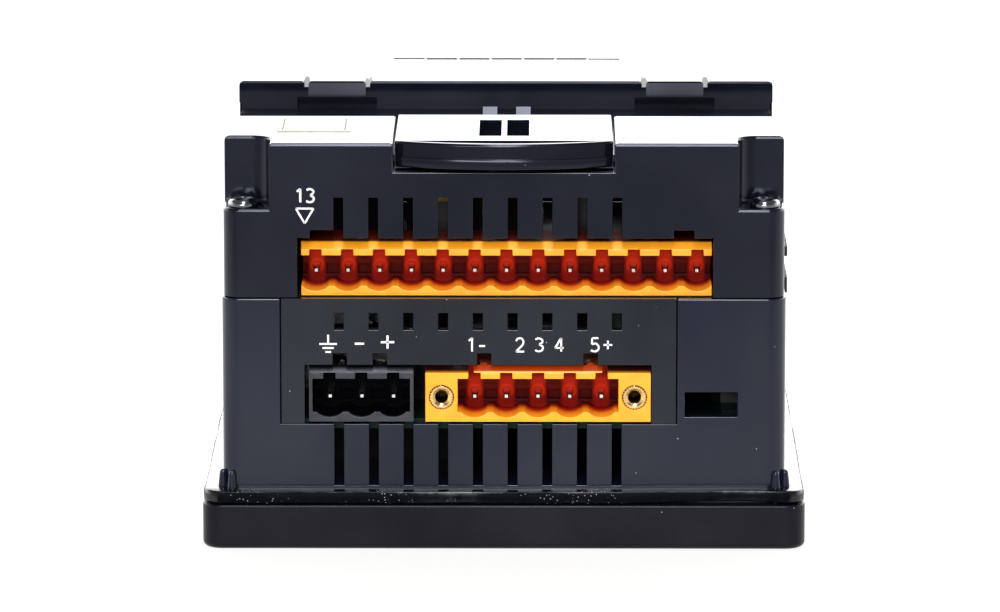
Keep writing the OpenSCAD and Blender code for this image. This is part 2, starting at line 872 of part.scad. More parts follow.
// Post on the recess floor that stops the latch and backs one spring
module latch_stop(x) {
    box([x - stop_w / 2, trough_y0 + 0.3, rail_floor_z - cut],
        [x + stop_w / 2, trough_y0 + 0.3 + stop_l, rail_floor_z + stop_h]);
}

// Long screws that hold the cover to the case
module cover_screws() {
    color("#d4d6d8")
    four_corners(corner_screw_at, corner_screw_at)
        pan_screw(screw_head_r, screw_head_h, screw_r, screw_len, ledge_z);
}

// Sliding latch with its pull lip, windows, side tongues and spring troughs
module din_latch() {
    color("#24262b")
    difference() {
        union() {
            box([-latch_w / 2, lip_root_y, latch_z0], [latch_w / 2, -rail_w / 2, cover_top_z]);
            box([-latch_w / 2, -rail_w / 2 - cut, cover_top_z - hook_t],
                [latch_w / 2, -rail_w / 2 + hook_reach, cover_top_z]);
            box([-latch_w / 2 - tongue_reach, tongue_y0, latch_z0 + 0.1],
                [latch_w / 2 + tongue_reach, tongue_y1, latch_z0 + 0.1 + tongue_h]);
            pull_lip();
        }
        for (side = [-1, 1])
            box([side * (window_w + window_gap) / 2 - window_w / 2, window_y0, latch_z0 - cut],
                [side * (window_w + window_gap) / 2 + window_w / 2, window_y1,
                 cover_top_z + cut]);
        for (side = [-1, 1])
            box([side * spring_x - trough_w / 2, trough_y0, latch_z0 - cut],
                [side * spring_x + trough_w / 2, trough_y1, latch_z0 + trough_h]);
        lip_groove();
    }
}

// Curved lip at the latch's outer end, whose lower half stands slightly further out
module pull_lip() {
    upper_h = lip_top_z - lip_chamfer - lip_step_z + cut;
    intersection() {
        box([-lip_half, lip_front_y - cut, lip_z0], [lip_half, lip_root_y + cut, lip_top_z]);
        translate([0, lip_centre_y, 0])
            union() {
                translate([0, 0, lip_z0])
                    cylinder(r = lip_r, h = lip_step_z - lip_z0, $fn = 240);
                translate([0, 0, lip_step_z - cut])
                    cylinder(r = lip_r - lip_step, h = upper_h, $fn = 240);
                translate([0, 0, lip_top_z - lip_chamfer])
                    cylinder(r1 = lip_r - lip_step, r2 = lip_r - lip_step - lip_chamfer,
                        h = lip_chamfer, $fn = 240);
            }
    }
}

// Crescent-shaped finger groove on the latch's rear face, behind the lip
module lip_groove() {
    intersection() {
        box([-lip_groove_half, lip_groove_y - lip_groove_bow, cover_top_z - lip_groove_h],
            [lip_groove_half, lip_groove_y, cover_top_z + cut]);
        translate([0, lip_groove_y - lip_groove_bow + lip_groove_r, cover_top_z - lip_groove_h])
            cylinder(r = lip_groove_r, h = lip_groove_h + cut, $fn = 480);
    }
}

// Flat steel strip folded to and fro along +Y, with its ends just clear of two walls
module folded_spring(length) {
    step = (length - spring_strip_t) / spring_bends;
    linear_extrude(spring_h)
        union() {
            for (i = [0 : spring_bends])
                translate([-spring_w / 2, i * step])
                    square([spring_w, spring_strip_t]);
            for (i = [0 : spring_bends - 1])
                translate([i % 2 == 0 ? spring_w / 2 - spring_strip_t : -spring_w / 2, i * step])
                    square([spring_strip_t, step + spring_strip_t]);
        }
}

// Pair of springs that push the latch over the rail
module latch_springs() {
    start = trough_y0 + 0.3 + stop_l + 0.05;
    color("#b9bcc0")
    for (side = [-1, 1])
        translate([side * spring_x, start, latch_z0 + 0.2])
            folded_spring(trough_y1 - start - 0.05);
}

// Holes for the bent legs of one header's pins
module leg_holes(count, x, y, z) {
    for (i = [0 : count - 1])
        translate([x + (i - (count - 1) / 2) * pin_pitch, y + pin_leg_y, 0])
            post(pin_drill_r, z - board_t - cut, z + cut);
}

// Main board, which carries the processor, the power input and the bus
module main_board() {
    color("#1f5a3a")
    difference() {
        board_plate(main_board_w, main_board_w, main_board_cut, main_board_z0);
        four_corners(spacer_x, spacer_y)
            post(board_hole_r, main_board_z0 - cut, main_board_z + cut);
        leg_holes(power_pins_count, -power_header_x, low_header_y, main_board_z);
        leg_holes(bus_pins_count, bus_header_x, low_header_y, main_board_z);
    }
}

// Hexagonal plastic spacers between the two boards, with a stud below and a thread above
module board_spacers() {
    color("#26282b")
    four_corners(spacer_x, spacer_y)
        difference() {
            union() {
                translate([0, 0, main_board_z])
                    cylinder(r = spacer_r, h = io_board_z0 - main_board_z, $fn = 6);
                post(spacer_stud_r, main_board_z - board_t - spacer_stud_l, main_board_z + cut);
            }
            post(spacer_stud_r + thread_gap, io_board_z0 - spacer_bore_d, io_board_z0 + cut);
        }
}

// Flat chip with rows of legs along two or four sides
module chip(x, y, w, d, h, z, four_sided) {
    leg = 0.9;
    translate([x, y, z])
        union() {
            translate([-w / 2, -d / 2, 0.1])
                cube([w, d, h - 0.1]);
            for (i = [0 : floor(w / 1.27) - 1])
                translate([(i - (floor(w / 1.27) - 1) / 2) * 1.27 - 0.2, -d / 2 - leg, 0])
                    cube([0.4, d + 2 * leg, 0.5]);
            if (four_sided)
                for (i = [0 : floor(d / 1.27) - 1])
                    translate([-w / 2 - leg, (i - (floor(d / 1.27) - 1) / 2) * 1.27 - 0.2, 0])
                        cube([w + 2 * leg, 0.4, 0.5]);
        }
}

// Processor in the middle of the main board
module processor() {
    color("#26282b")
    chip(4, 4, 14, 14, 1.5, main_board_z, true);
}

// Two memory chips beside the processor
module memory_chips() {
    color("#2d2f33")
    for (y = [-3, 10])
        chip(-12, y, 10, 6, 1.8, main_board_z, false);
}

// Metal can of the clock crystal
module clock_crystal() {
    color("#cfd2d5")
    translate([18, 15, 0])
        union() {
            post(1.6, main_board_z, main_board_z + 3.4);
            translate([4, 0, 0])
                post(1.6, main_board_z, main_board_z + 3.4);
            box([0, -1.6, main_board_z], [4, 1.6, main_board_z + 3.4]);
        }
}

// Battery size and place, shared by the cell and its holder
battery_x = -18;
battery_y = 27;
battery_r = 10;
battery_t = 3.2;
holder_floor = 0.8;

// Holder for the coin cell that backs up the clock
module battery_holder() {
    color("#34373b")
    translate([battery_x, battery_y, main_board_z])
        difference() {
            translate([0, 0, 2])
                cube([2 * battery_r + 3, 2 * battery_r + 2, 4], center = true);
            translate([0, 0, holder_floor])
                cylinder(r = battery_r + fit_gap, h = 5);
            translate([0, -battery_r, 3])
                cube([9, 6, 4.4], center = true);
        }
}

// Coin cell
module backup_battery() {
    color("#d0d2d4")
    translate([battery_x, battery_y, 0])
        post(battery_r, main_board_z + holder_floor, main_board_z + holder_floor + battery_t);
}

// Place and size of the drum inductor
inductor_x = -27;
inductor_y = -22;
inductor_flange_r = 6;
inductor_core_r = 4.6;
inductor_h = 7.8;
inductor_flange_t = 1.4;

// Drum inductor of the supply, behind the power header
module power_inductor() {
    color("#3a3d40")
    translate([inductor_x, inductor_y, main_board_z])
        union() {
            cylinder(r = inductor_flange_r, h = inductor_flange_t);
            cylinder(r = inductor_core_r, h = inductor_h - inductor_flange_t + cut);
            translate([0, 0, inductor_h - inductor_flange_t])
                cylinder(r = inductor_flange_r, h = inductor_flange_t);
        }
}

// Electrolytic capacitors of the supply: place, radius and height
main_caps = [[-12.5, -23, 4, 15.5], [-3, -22, 3.2, 11], [7, -23, 3.2, 11], [18.5, -24, 4, 15.5]];

// Standing capacitor with a crimped waist near its foot
module can_capacitor(x, y, r, h, z) {
    translate([x, y, z])
        union() {
            cylinder(r = r, h = 1);
            cylinder(r = r - 0.3, h = 1.8);
            translate([0, 0, 1.6])
                cylinder(r = r, h = h - 2.1);
            translate([0, 0, h - 0.6])
                cylinder(r1 = r, r2 = r - 0.5, h = 0.6);
        }
}

// Capacitors beside the headers on the main board
module main_capacitors() {
    color("#2a3550")
    for (c = main_caps)
        can_capacitor(c[0], c[1], c[2], c[3], main_board_z);
}

// Driver chip of the bus
module bus_transceiver() {
    color("#2d2f33")
    chip(8, -12.5, 5, 4, 1.6, main_board_z, false);
}

// Outer block of a header with its chamfered upper front edge
module header_block(x0, x1, face_h) {
    translate([x0, 0, 0])
        rotate([90, 0, 90])
            linear_extrude(x1 - x0)
                polygon([[0, 0], [header_d, 0], [header_d, face_h + header_chamfer],
                         [header_chamfer, face_h + header_chamfer], [0, face_h]]);
}

// Plug cavity of a header: scalloped floor, slotted ceiling, pockets and pin holes
module header_cavity(count, x0, x1, face_h) {
    first = -(count - 1) / 2 * pin_pitch;
    ceiling = face_h - tooth_h;
    difference() {
        union() {
            box([x0, -cut, scallop_floor + scallop_rise], [x1, cavity_d, ceiling]);
            for (i = [0 : count - 1])
                translate([first + i * pin_pitch, 0, 0])
                    header_pole(ceiling, face_h);
        }
        for (i = [-1 : count - 1])
            between_pins(first + (i + 0.5) * pin_pitch, x0, x1, cavity_d - bar_d,
                cavity_d + cut, pocket_z0 + pocket_h, pocket_z0 + pocket_h + bar_h);
    }
    for (i = [-1 : count - 1])
        between_pins(first + (i + 0.5) * pin_pitch, x0, x1, cavity_d - cut,
            cavity_d + pocket_d, pocket_z0, pocket_z0 + pocket_h);
    for (i = [0 : count - 1])
        translate([first + i * pin_pitch, 0, pin_z])
            pin_hole();
}

// Box between two pins that ends at the cavity's side walls
module between_pins(x, x0, x1, y0, y1, z0, z1) {
    box([max(x - pocket_w / 2, x0), y0, z0], [min(x + pocket_w / 2, x1), y1, z1]);
}

// Part of the cavity that belongs to one pin
module header_pole(ceiling, face_h) {
    box([-tooth_slot_w / 2, -cut, ceiling - cut], [tooth_slot_w / 2, cavity_d, face_h]);
    intersection() {
        translate([0, -cut, scallop_floor + scallop_r])
            rotate([-90, 0, 0])
                cylinder(r = scallop_r, h = cavity_d + cut);
        box([-scallop_half, -cut, 0],
            [scallop_half, cavity_d, scallop_floor + scallop_rise + cut]);
    }
}

// Square hole through the header's back for one pin, with a round sink at its mouth
module pin_hole() {
    half = pin_w / 2 + pin_hole_gap;
    translate([0, cavity_d - cut, 0])
        rotate([-90, 0, 0])
            cylinder(r = pin_hole_r, h = pin_hole_d + cut);
    box([-half, cavity_d - cut, -half], [half, header_d + cut, half]);
}

// One bent pin, from its tip down through the board
module bent_pin(drop) {
    union() {
        box([-pin_w / 2, pin_setback, -pin_w / 2],
            [pin_w / 2, pin_leg_y + pin_w / 2, pin_w / 2]);
        box([-pin_w / 2, pin_leg_y - pin_w / 2, -drop],
            [pin_w / 2, pin_leg_y + pin_w / 2, pin_w / 2]);
    }
}

// All the pins of one header
module pin_row(count) {
    for (i = [0 : count - 1])
        translate([(i - (count - 1) / 2) * pin_pitch, 0, pin_z])
            bent_pin(pin_z + board_t + pin_tail);
}

// Small key on top of a header that shows in the opening's notch
module key_hump(x) {
    translate([x, header_chamfer + 0.1, header_h - cut])
        rotate([-90, 0, 0])
            intersection() {
                translate([0, key_hump_w / 2 - key_hump_h, 0])
                    cylinder(r = key_hump_w / 2, h = 3);
                translate([-key_hump_w / 2, -key_hump_h, 0])
                    cube([key_hump_w, key_hump_h, 3]);
            }
}

// Power header with closed ends
module power_header() {
    half = (power_pins_count - 1) / 2 * pin_pitch + cavity_margin;
    color("#1b1c1f")
    translate([-power_header_x, low_header_y, main_board_z])
        union() {
            difference() {
                header_block(-half - power_end_wall, half + power_end_wall, header_face_h);
                header_cavity(power_pins_count, -half, half, header_face_h);
            }
            for (x = power_hump_xs)
                key_hump(x);
        }
}

// Pins of the power header
module power_pins() {
    color("#d9dbdc")
    translate([-power_header_x, low_header_y, main_board_z])
        pin_row(power_pins_count);
}

// Bus header with a screw flange at each end
module bus_header() {
    half = (bus_pins_count - 1) / 2 * pin_pitch + cavity_margin;
    color("#f59a23")
    translate([bus_header_x, low_header_y, main_board_z])
        difference() {
            union() {
                header_block(-half - flange_w, half + flange_w, header_face_h);
                for (x = bus_hump_xs)
                    key_hump(x);
            }
            header_cavity(bus_pins_count, -half, half, header_face_h);
            for (side = [-1, 1])
                translate([side * (half + insert_at), -cut, header_face_h / 2])
                    rotate([-90, 0, 0])
                        cylinder(r = insert_r + thread_gap, h = insert_len + cut);
            for (side = [-1, 1])
                box([side * (half + flange_w / 2) - flange_w, -cut, header_face_h],
                    [side * (half + flange_w / 2) + flange_w, header_d + cut, header_h + 2]);
        }
}

// Pins of the bus header
module bus_pins() {
    color("#d9dbdc")
    translate([bus_header_x, low_header_y, main_board_z])
        pin_row(bus_pins_count);
}

// Threaded brass inserts in the bus header's flanges
module bus_inserts() {
    half = (bus_pins_count - 1) / 2 * pin_pitch + cavity_margin;
    color("#caa45a")
    translate([bus_header_x, low_header_y, main_board_z])
        for (side = [-1, 1])
            translate([side * (half + insert_at), 0, header_face_h / 2])
                rotate([-90, 0, 0])
                    difference() {
                        cylinder(r = insert_r, h = insert_len);
                        translate([0, 0, -cut])
                            cylinder(r = insert_bore_r, h = insert_len - 1);
                    }
}

// Socket on the main board for the input and output board
module board_socket() {
    color("#33363a")
    translate([board_link_x, board_link_y, 0])
        box([-board_link_w / 2, -board_link_d / 2, main_board_z],
            [board_link_w / 2, board_link_d / 2, board_link_split_z]);
}

// Plug under the input and output board
module board_plug() {
    color("#26282b")
    translate([board_link_x, board_link_y, 0])
        box([-board_link_w / 2, -board_link_d / 2, board_link_split_z],
            [board_link_w / 2, board_link_d / 2, io_board_z0]);
}

// Input and output board under the cover
module io_board() {
    color("#1f5a3a")
    difference() {
        board_plate(io_board_w, io_board_w, main_board_cut, io_board_z0);
        four_corners(spacer_x, spacer_y)
            post(board_hole_r, io_board_z0 - cut, io_board_z + cut);
        leg_holes(io_pins_count, io_header_x, io_header_y, io_board_z);
    }
}

// Screws that hold the input and output board to the spacers
module io_board_screws() {
    color("#c8cacc")
    four_corners(spacer_x, spacer_y)
        pan_screw(board_screw_head_r, board_screw_head_h, spacer_stud_r, board_screw_len,
            io_board_z);
}

// Input and output header, open at both ends
module io_header() {
    half = (io_pins_count - 1) / 2 * pin_pitch + open_margin;
    color("#f59a23")
    translate([io_header_x, io_header_y, io_board_z])
        difference() {
            header_block(-half, half, io_face_h);
            header_cavity(io_pins_count, -half - cut, half + cut, io_face_h);
        }
}

// Pins of the input and output header
module io_pins() {
    color("#d9dbdc")
    translate([io_header_x, io_header_y, io_board_z])
        pin_row(io_pins_count);
}

// Relays and couplers: number, spacing, size and place of the first one
relay_count = 5;
relay_pitch = 7;
relay_w = 5.2;
relay_d = 20;
relay_h = 12.5;
relay_x0 = -30;
relay_y0 = -18;
coupler_count = 6;
coupler_pitch = 8;
coupler_w = 4.6;
coupler_d = 6.5;
coupler_h = 3.6;
coupler_x0 = -28;
coupler_y = 14;

// Slim relays in a row on the input and output board
module output_relays() {
    color("#e8e6df")
    for (i = [0 : relay_count - 1])
        translate([relay_x0 + i * relay_pitch, relay_y0, io_board_z])
            cube([relay_w, relay_d, relay_h]);
}

// Input couplers in a row
module input_couplers() {
    color("#e9e7e0")
    for (i = [0 : coupler_count - 1])
        chip(coupler_x0 + i * coupler_pitch, coupler_y, coupler_w, coupler_d, coupler_h,
            io_board_z, false);
}

// Chip that drives the relays
module relay_driver() {
    color("#2d2f33")
    chip(12, 4, 11, 7.4, 2.4, io_board_z, false);
}

// Standing capacitors on the input and output board: place, radius and height
io_caps = [[13.1, -25, 4, 14.5], [23.5, -25.5, 3.2, 11], [26, 26, 4, 12.5]];

// Capacitors behind the cover's vents
module io_capacitors() {
    color("#8f9499")
    for (c = io_caps)
        can_capacitor(c[0], c[1], c[2], c[3], io_board_z);
}

// Size and place of the film capacitor
film_w = 7;
film_d = 5;
film_h = 14;
film_x = -10;
film_y = relay_y0 - 8.5;

// Box-shaped film capacitor behind the cover's vents
module film_capacitor() {
    color("#e0b020")
    translate([film_x - film_w / 2, film_y - film_d / 2, io_board_z])
        cube([film_w, film_d, film_h]);
}

// Socket of the service port, under the input and output board
module usb_socket() {
    color("#c4c7ca")
    translate([case_w / 2 - wall - 0.3 - usb_l, port_y, io_board_z0 - usb_h])
        difference() {
            translate([0, -usb_w / 2, 0])
                cube([usb_l, usb_w, usb_h]);
            translate([2, -usb_w / 2 + 0.5, 0.5])
                cube([usb_l, usb_w - 1, usb_h - 1]);
        }
}

// Rubber dust cover of the service port, with two grip ribs
module port_cover() {
    face = case_w / 2;
    color("#141517")
    union() {
        box([face, port_y - port_flange_w / 2, port_flange_z0],
            [face + port_flange_t, port_y + port_flange_w / 2, port_flange_z1]);
        box([face - wall, port_y - port_w / 2 + fit_gap, port_z0 + fit_gap],
            [face + cut, port_y + port_w / 2 - fit_gap, port_z0 + port_h - fit_gap]);
        for (rib = [[port_flange_z0 + 0.3, 2.6], [port_flange_z1 - 1.7, 1.6]])
            box([face + port_flange_t - cut, port_y - port_flange_w / 2 + 1, rib[0]],
                [face + port_flange_t + port_grip_t, port_y + port_flange_w / 2 - 1,
                 rib[0] + rib[1]]);
    }
}

// Size of the rear label and its distance from the cover's left and near faces
label_w = 11.8;
label_d = 13;
label_t = 0.12;
label_side_gap = 8.25;
label_near_gap = 11.25;

// Blank label on the cover's rear face
module rear_label() {
    color("#f2f0e6")
    translate([label_side_gap - cover_w / 2, label_near_gap - cover_w / 2, cover_top_z])
        cube([label_w, label_d, label_t]);
}

front_bezel();
front_overlay();
membrane_switch();
touch_panel();
display_module();
front_board();
front_board_screws();
front_connector();
front_socket();
panel_gasket();
main_case();
case_screws();
connector_panel();
io_cover();
cover_screws();
din_latch();
latch_springs();
main_board();
board_spacers();
processor();
memory_chips();
clock_crystal();
battery_holder();
backup_battery();
power_inductor();
main_capacitors();
bus_transceiver();
power_header();
power_pins();
bus_header();
bus_pins();
bus_inserts();
board_socket();
board_plug();
io_board();
io_board_screws();
io_header();
io_pins();
output_relays();
input_couplers();
relay_driver();
io_capacitors();
film_capacitor();
usb_socket();
port_cover();
rear_label();
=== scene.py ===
import json
import math

import bmesh
import bpy
from mathutils import Matrix, Vector, noise


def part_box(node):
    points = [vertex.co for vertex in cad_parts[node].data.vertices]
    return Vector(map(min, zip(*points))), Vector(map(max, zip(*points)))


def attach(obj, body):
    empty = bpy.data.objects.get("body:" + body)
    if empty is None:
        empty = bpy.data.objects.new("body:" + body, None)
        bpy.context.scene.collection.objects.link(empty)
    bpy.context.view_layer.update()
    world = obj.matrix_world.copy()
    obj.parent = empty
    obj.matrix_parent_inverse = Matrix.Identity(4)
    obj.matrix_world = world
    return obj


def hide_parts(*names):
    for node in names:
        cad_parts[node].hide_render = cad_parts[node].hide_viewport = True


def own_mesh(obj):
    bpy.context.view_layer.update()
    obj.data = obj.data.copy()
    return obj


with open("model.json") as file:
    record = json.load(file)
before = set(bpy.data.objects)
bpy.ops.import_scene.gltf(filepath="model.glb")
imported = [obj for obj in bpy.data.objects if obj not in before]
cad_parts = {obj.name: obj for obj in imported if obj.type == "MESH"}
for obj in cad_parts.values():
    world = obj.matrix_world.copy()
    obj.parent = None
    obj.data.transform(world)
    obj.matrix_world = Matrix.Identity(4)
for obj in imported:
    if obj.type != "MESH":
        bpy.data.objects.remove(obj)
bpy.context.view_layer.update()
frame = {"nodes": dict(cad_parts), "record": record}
NODES = frame["nodes"]
scene = bpy.context.scene
scene.view_settings.view_transform = "Standard"
MM = 0.001

# Sizes repeated from the solids, in millimetres
COVER_W, CASE_W, GASKET_W, COVER_TOP_Z = 89.5, 90.1, 96.2, 65.3
BEZEL_H, GASKET_T = 7.2, 2.2
PITCH, PIN_W, PIN_Z, PIN_SETBACK, PIN_LEG_Y = 5.08, 1.0, 3.35, 4.2, 12.4
IO_X, IO_FRONT_Y, IO_BOARD_Z = 0.4, -43.15, 40.4
BUS_X, POWER_X, BUS_FRONT_Y, MAIN_BOARD_Z = 5.46, -22.8, -45.0, 20.2
INSERT_X, INSERT_Z, INSERT_R, BORE_R = (-9.97, 20.89), 24.2, 1.98, 1.07
SCREW_AT, LEDGE_Z = 41.6, 54.7
LIP_FRONT_Y, LIP_ROOT_Y, LIP_H, LIP_STEP = -46.1, -41.9, 4.15, 2.45
IO_TOP_H, BUS_TOP_H = 8.6, 8.0
RAIL_WALL_Y = 17.75

# Camera fitted to the photograph's edges: place in metres, angles in radians, focal length in pixels
CAMERA_AT, CAMERA_PITCH, CAMERA_YAW = (0.005644, -1.112887, 0.246585), 0.1919045, -0.0058627
FOCAL_PX, FRAME_PX, SENSOR_MM = 6823.295, 1000, 36

# Glow of the floor: far in front of the object, round it, and what is added behind it
FLOOR_FAR, FLOOR_NEAR, FLOOR_BEHIND = 0.06, 0.745, 0.20


# ---- camera
def make_camera():
    pitch, yaw = CAMERA_PITCH, CAMERA_YAW
    fwd = Vector((math.sin(yaw) * math.cos(pitch), math.cos(yaw) * math.cos(pitch), -math.sin(pitch)))
    right = Vector((math.cos(yaw), -math.sin(yaw), 0))
    up = right.cross(fwd)
    data = bpy.data.cameras.new("camera")
    data.sensor_width = SENSOR_MM
    data.lens = FOCAL_PX * SENSOR_MM / FRAME_PX
    data.clip_start, data.clip_end = 0.05, 20
    cam = bpy.data.objects.new("camera", data)
    scene.collection.objects.link(cam)
    m = Matrix((right, up, -fwd)).transposed().to_4x4()
    m.translation = Vector(CAMERA_AT)
    cam.matrix_world = m
    scene.camera = cam


make_camera()


# ---- node helpers
class Tree:
    """Short way to add and link shader nodes."""

    def __init__(self, tree):
        self.t = tree

    def add(self, kind, **values):
        n = self.t.nodes.new("ShaderNode" + kind)
        for key, v in values.items():
            if key.startswith("i_"):
                socket = n.inputs[key[2:].replace("_", " ")]
                if isinstance(v, bpy.types.NodeSocket):
                    self.t.links.new(v, socket)
                else:
                    socket.default_value = v
            else:
                setattr(n, key, v)
        return n

    def link(self, a, b):
        self.t.links.new(a, b)

    def coords(self):
        """Object coordinates in millimetres."""
        tc = self.add("TexCoord")
        return self.add("VectorMath", operation="SCALE", i_Vector=tc.outputs["Object"],
                        i_Scale=1000.0).outputs[0]

    def axes(self, vec):
        return [self.add("SeparateXYZ", i_Vector=vec).outputs[k] for k in "XYZ"]

    def noise(self, vec, scale, detail=2.0, rough=0.5):
        return self.add("TexNoise", i_Vector=vec, i_Scale=scale, i_Detail=detail, i_Roughness=rough).outputs["Fac"]

    def math(self, op, a, b=0.0, clamp=False):
        n = self.add("Math", operation=op, use_clamp=clamp)
        for i, v in enumerate((a, b)):
            if isinstance(v, bpy.types.NodeSocket):
                self.link(v, n.inputs[i])
            else:
                n.inputs[i].default_value = v
        return n.outputs[0]

    def times(self, *factors):
        """Product of two or more values."""
        out = factors[0]
        for f in factors[1:]:
            out = self.math("MULTIPLY", out, f)
        return out

    def band(self, v, low, high):
        """1 where v is between two values, or else 0."""
        return self.times(self.math("GREATER_THAN", v, low), self.math("LESS_THAN", v, high))

    def remap(self, v, a, b, c, d, smooth=False):
        """Straight or smooth ramp from c, where v is a, to d, where v is b."""
        n = self.add("MapRange", interpolation_type="SMOOTHSTEP" if smooth else "LINEAR", i_Value=v)
        for i, x in zip((1, 2, 3, 4), (a, b, c, d)):
            n.inputs[i].default_value = x
        return n.outputs[0]

    def mix(self, fac, a, b):
        n = self.add("Mix", data_type="RGBA")
        for i, v in ((0, fac), (6, a), (7, b)):
            if isinstance(v, bpy.types.NodeSocket):
                self.link(v, n.inputs[i])
            else:
                n.inputs[i].default_value = (*v, 1) if isinstance(v, tuple) else v
        return n.outputs[2]

    def mottled(self, vec, scale, base, other, detail=3.0, spread=0.15):
        """Slow noise between two colours."""
        return self.mix(self.remap(self.noise(vec, scale, detail), 0.5 - spread, 0.5 + spread, 0, 1), base, other)

    def finish(self, bsdf, vec, rough, scale, detail, grain, fine=4.0, distance=0.00003):
        """Uneven roughness and a fine grain on the shader."""
        self.link(self.remap(self.noise(vec, scale, detail), 0.3, 0.7, *rough), bsdf.inputs["Roughness"])
        self.link(self.bump(self.noise(vec, fine), grain, distance), bsdf.inputs["Normal"])

    def bump(self, height, strength, distance, normal=None):
        n = self.add("Bump", i_Height=height, i_Strength=strength, i_Distance=distance)
        if normal is not None:
            self.link(normal, n.inputs["Normal"])
        return n.outputs[0]


def material(name, **values):
    """New material with values on its shader's own sockets; gives it, its node tree and its shader."""
    m = bpy.data.materials.new(name)
    m.use_nodes = True
    bsdf = m.node_tree.nodes["Principled BSDF"]
    for key, v in values.items():
        bsdf.inputs[key.replace("_", " ")].default_value = (*v, 1) if isinstance(v, tuple) else v
    return m, Tree(m.node_tree), bsdf


# ---- light: bright backdrop, long strip light overhead and a low fill behind the camera
def make_world():
    """Backdrop that is bright behind the object near the horizon and dim elsewhere."""
    world = bpy.data.worlds.new("studio")
    scene.world = world
    world.use_nodes = True
    t = Tree(world.node_tree)
    bg = world.node_tree.nodes["Background"]
    _, y, z = t.axes(t.add("TexCoord").outputs["Generated"])
    low = t.remap(z, 0.48, 0.64, 1, 0, True)
    behind = t.remap(y, -0.35, 0.55, 0, 1, True)
    front = t.remap(y, -0.9, 0.1, 0.55, 0.80, True)
    side = t.times(t.remap(z, 0.2, 0.6, 1.0, 0.30, True), front)
    glow = t.math("ADD", t.times(low, behind, 3.1), side)
    t.link(glow, bg.inputs["Strength"])
    bg.inputs["Color"].default_value = (1, 1, 1, 1)


def area_light(name, place, aim, size, power):
    data = bpy.data.lights.new(name, "AREA")
    data.shape = "RECTANGLE"
    data.size, data.size_y = size
    data.energy = power
    ob = bpy.data.objects.new(name, data)
    scene.collection.objects.link(ob)
    ob.location = place
    ob.rotation_euler = (Vector(aim) - Vector(place)).to_track_quat("-Z", "Y").to_euler()


make_world()
area_light("strip_light", (0.0, -0.58, 0.80), (0, -0.045, 0.05), (0.17, 1.35), 11)
area_light("front_fill", (-0.2, -1.70, 0.48), (0, 0, 0.03), (0.9, 0.4), 14)


def make_floor():
    """Pale under-lit floor: white round the object, dimmer far in front of it."""
    me = bpy.data.meshes.new("floor")
    me.from_pydata([(-3, -3, 0), (3, -3, 0), (3, 3, 0), (-3, 3, 0)], [], [(0, 1, 2, 3)])
    floor = bpy.data.objects.new("floor", me)
    scene.collection.objects.link(floor)
    m, t, b = material("floor_paint", Base_Color=(0.20, 0.20, 0.20), Roughness=0.7,
                       Specular_IOR_Level=0.1, Emission_Color=(1.0, 1.0, 0.99))
    _, y, _ = t.axes(t.coords())
    front_glow = t.remap(y, -330, -90, FLOOR_FAR, FLOOR_NEAR, True)
    t.link(t.math("ADD", front_glow, t.remap(y, -60, 60, 0, FLOOR_BEHIND, True)), b.inputs["Emission Strength"])
    t.link(t.remap(t.noise(t.coords(), 0.05), 0.3, 0.7, 0.66, 0.74), b.inputs["Roughness"])
    me.materials.append(m)


make_floor()


# ---- materials
def plastic(name, base, rough, grain, dust, tint, ior=1.46, sheen=1.0, matt_channel=False):
    """Moulded black plastic: fine grain, slow waviness, smears and a little dust.

    With matt_channel the far wall of the rail channel and the hooks' slots reflect less."""
    m, t, b = material(name, Roughness=sum(rough) / 2, IOR=ior, Specular_Tint=tint)
    p = t.coords()
    tone = t.mottled(p, 0.05, base, tuple(c * 1.35 for c in base), 2.0)
    dots = t.add("TexVoronoi", i_Vector=p, i_Scale=0.42).outputs["Distance"]
    speck = t.times(t.math("LESS_THAN", dots, 0.045), t.math("GREATER_THAN", t.noise(p, 0.23, 1.0), 1.0 - dust))
    t.link(t.mix(speck, tone, (0.32, 0.32, 0.34)), b.inputs["Base Color"])
    smear = t.remap(t.noise(p, 0.16, 3.0, 0.6), 0.35, 0.7, *rough)
    r = t.math("MAXIMUM", smear, t.times(speck, 0.8))
    level = t.remap(t.noise(p, 0.04, 2.0), 0.35, 0.65, 0.40 * sheen, 0.56 * sheen)
    if matt_channel:
        _, y, z = t.axes(p)
        wall = t.band(y, 13.0, 17.9)
        low = t.times(wall, t.remap(z, 64.2, 62.8, 0, 1, True))
        r = t.math("ADD", r, t.times(low, 0.32))
        slot = t.times(t.band(y, 17.85, 20.4), t.math("LESS_THAN", z, COVER_TOP_Z - 2.3))
        level = t.times(level, t.remap(slot, 0, 1, 1.0, 0.15), t.remap(wall, 0, 1, 1.0, 0.26),
                        t.remap(low, 0, 1, 1.0, 2.1))
    t.link(level, b.inputs["Specular IOR Level"])
    t.link(r, b.inputs["Roughness"])
    wave = t.bump(t.noise(p, 0.045, 1.0), 0.25, 0.0004)
    t.link(t.bump(t.noise(p, 3.2, 2.0), grain, 0.00004, wave), b.inputs["Normal"])
    return m


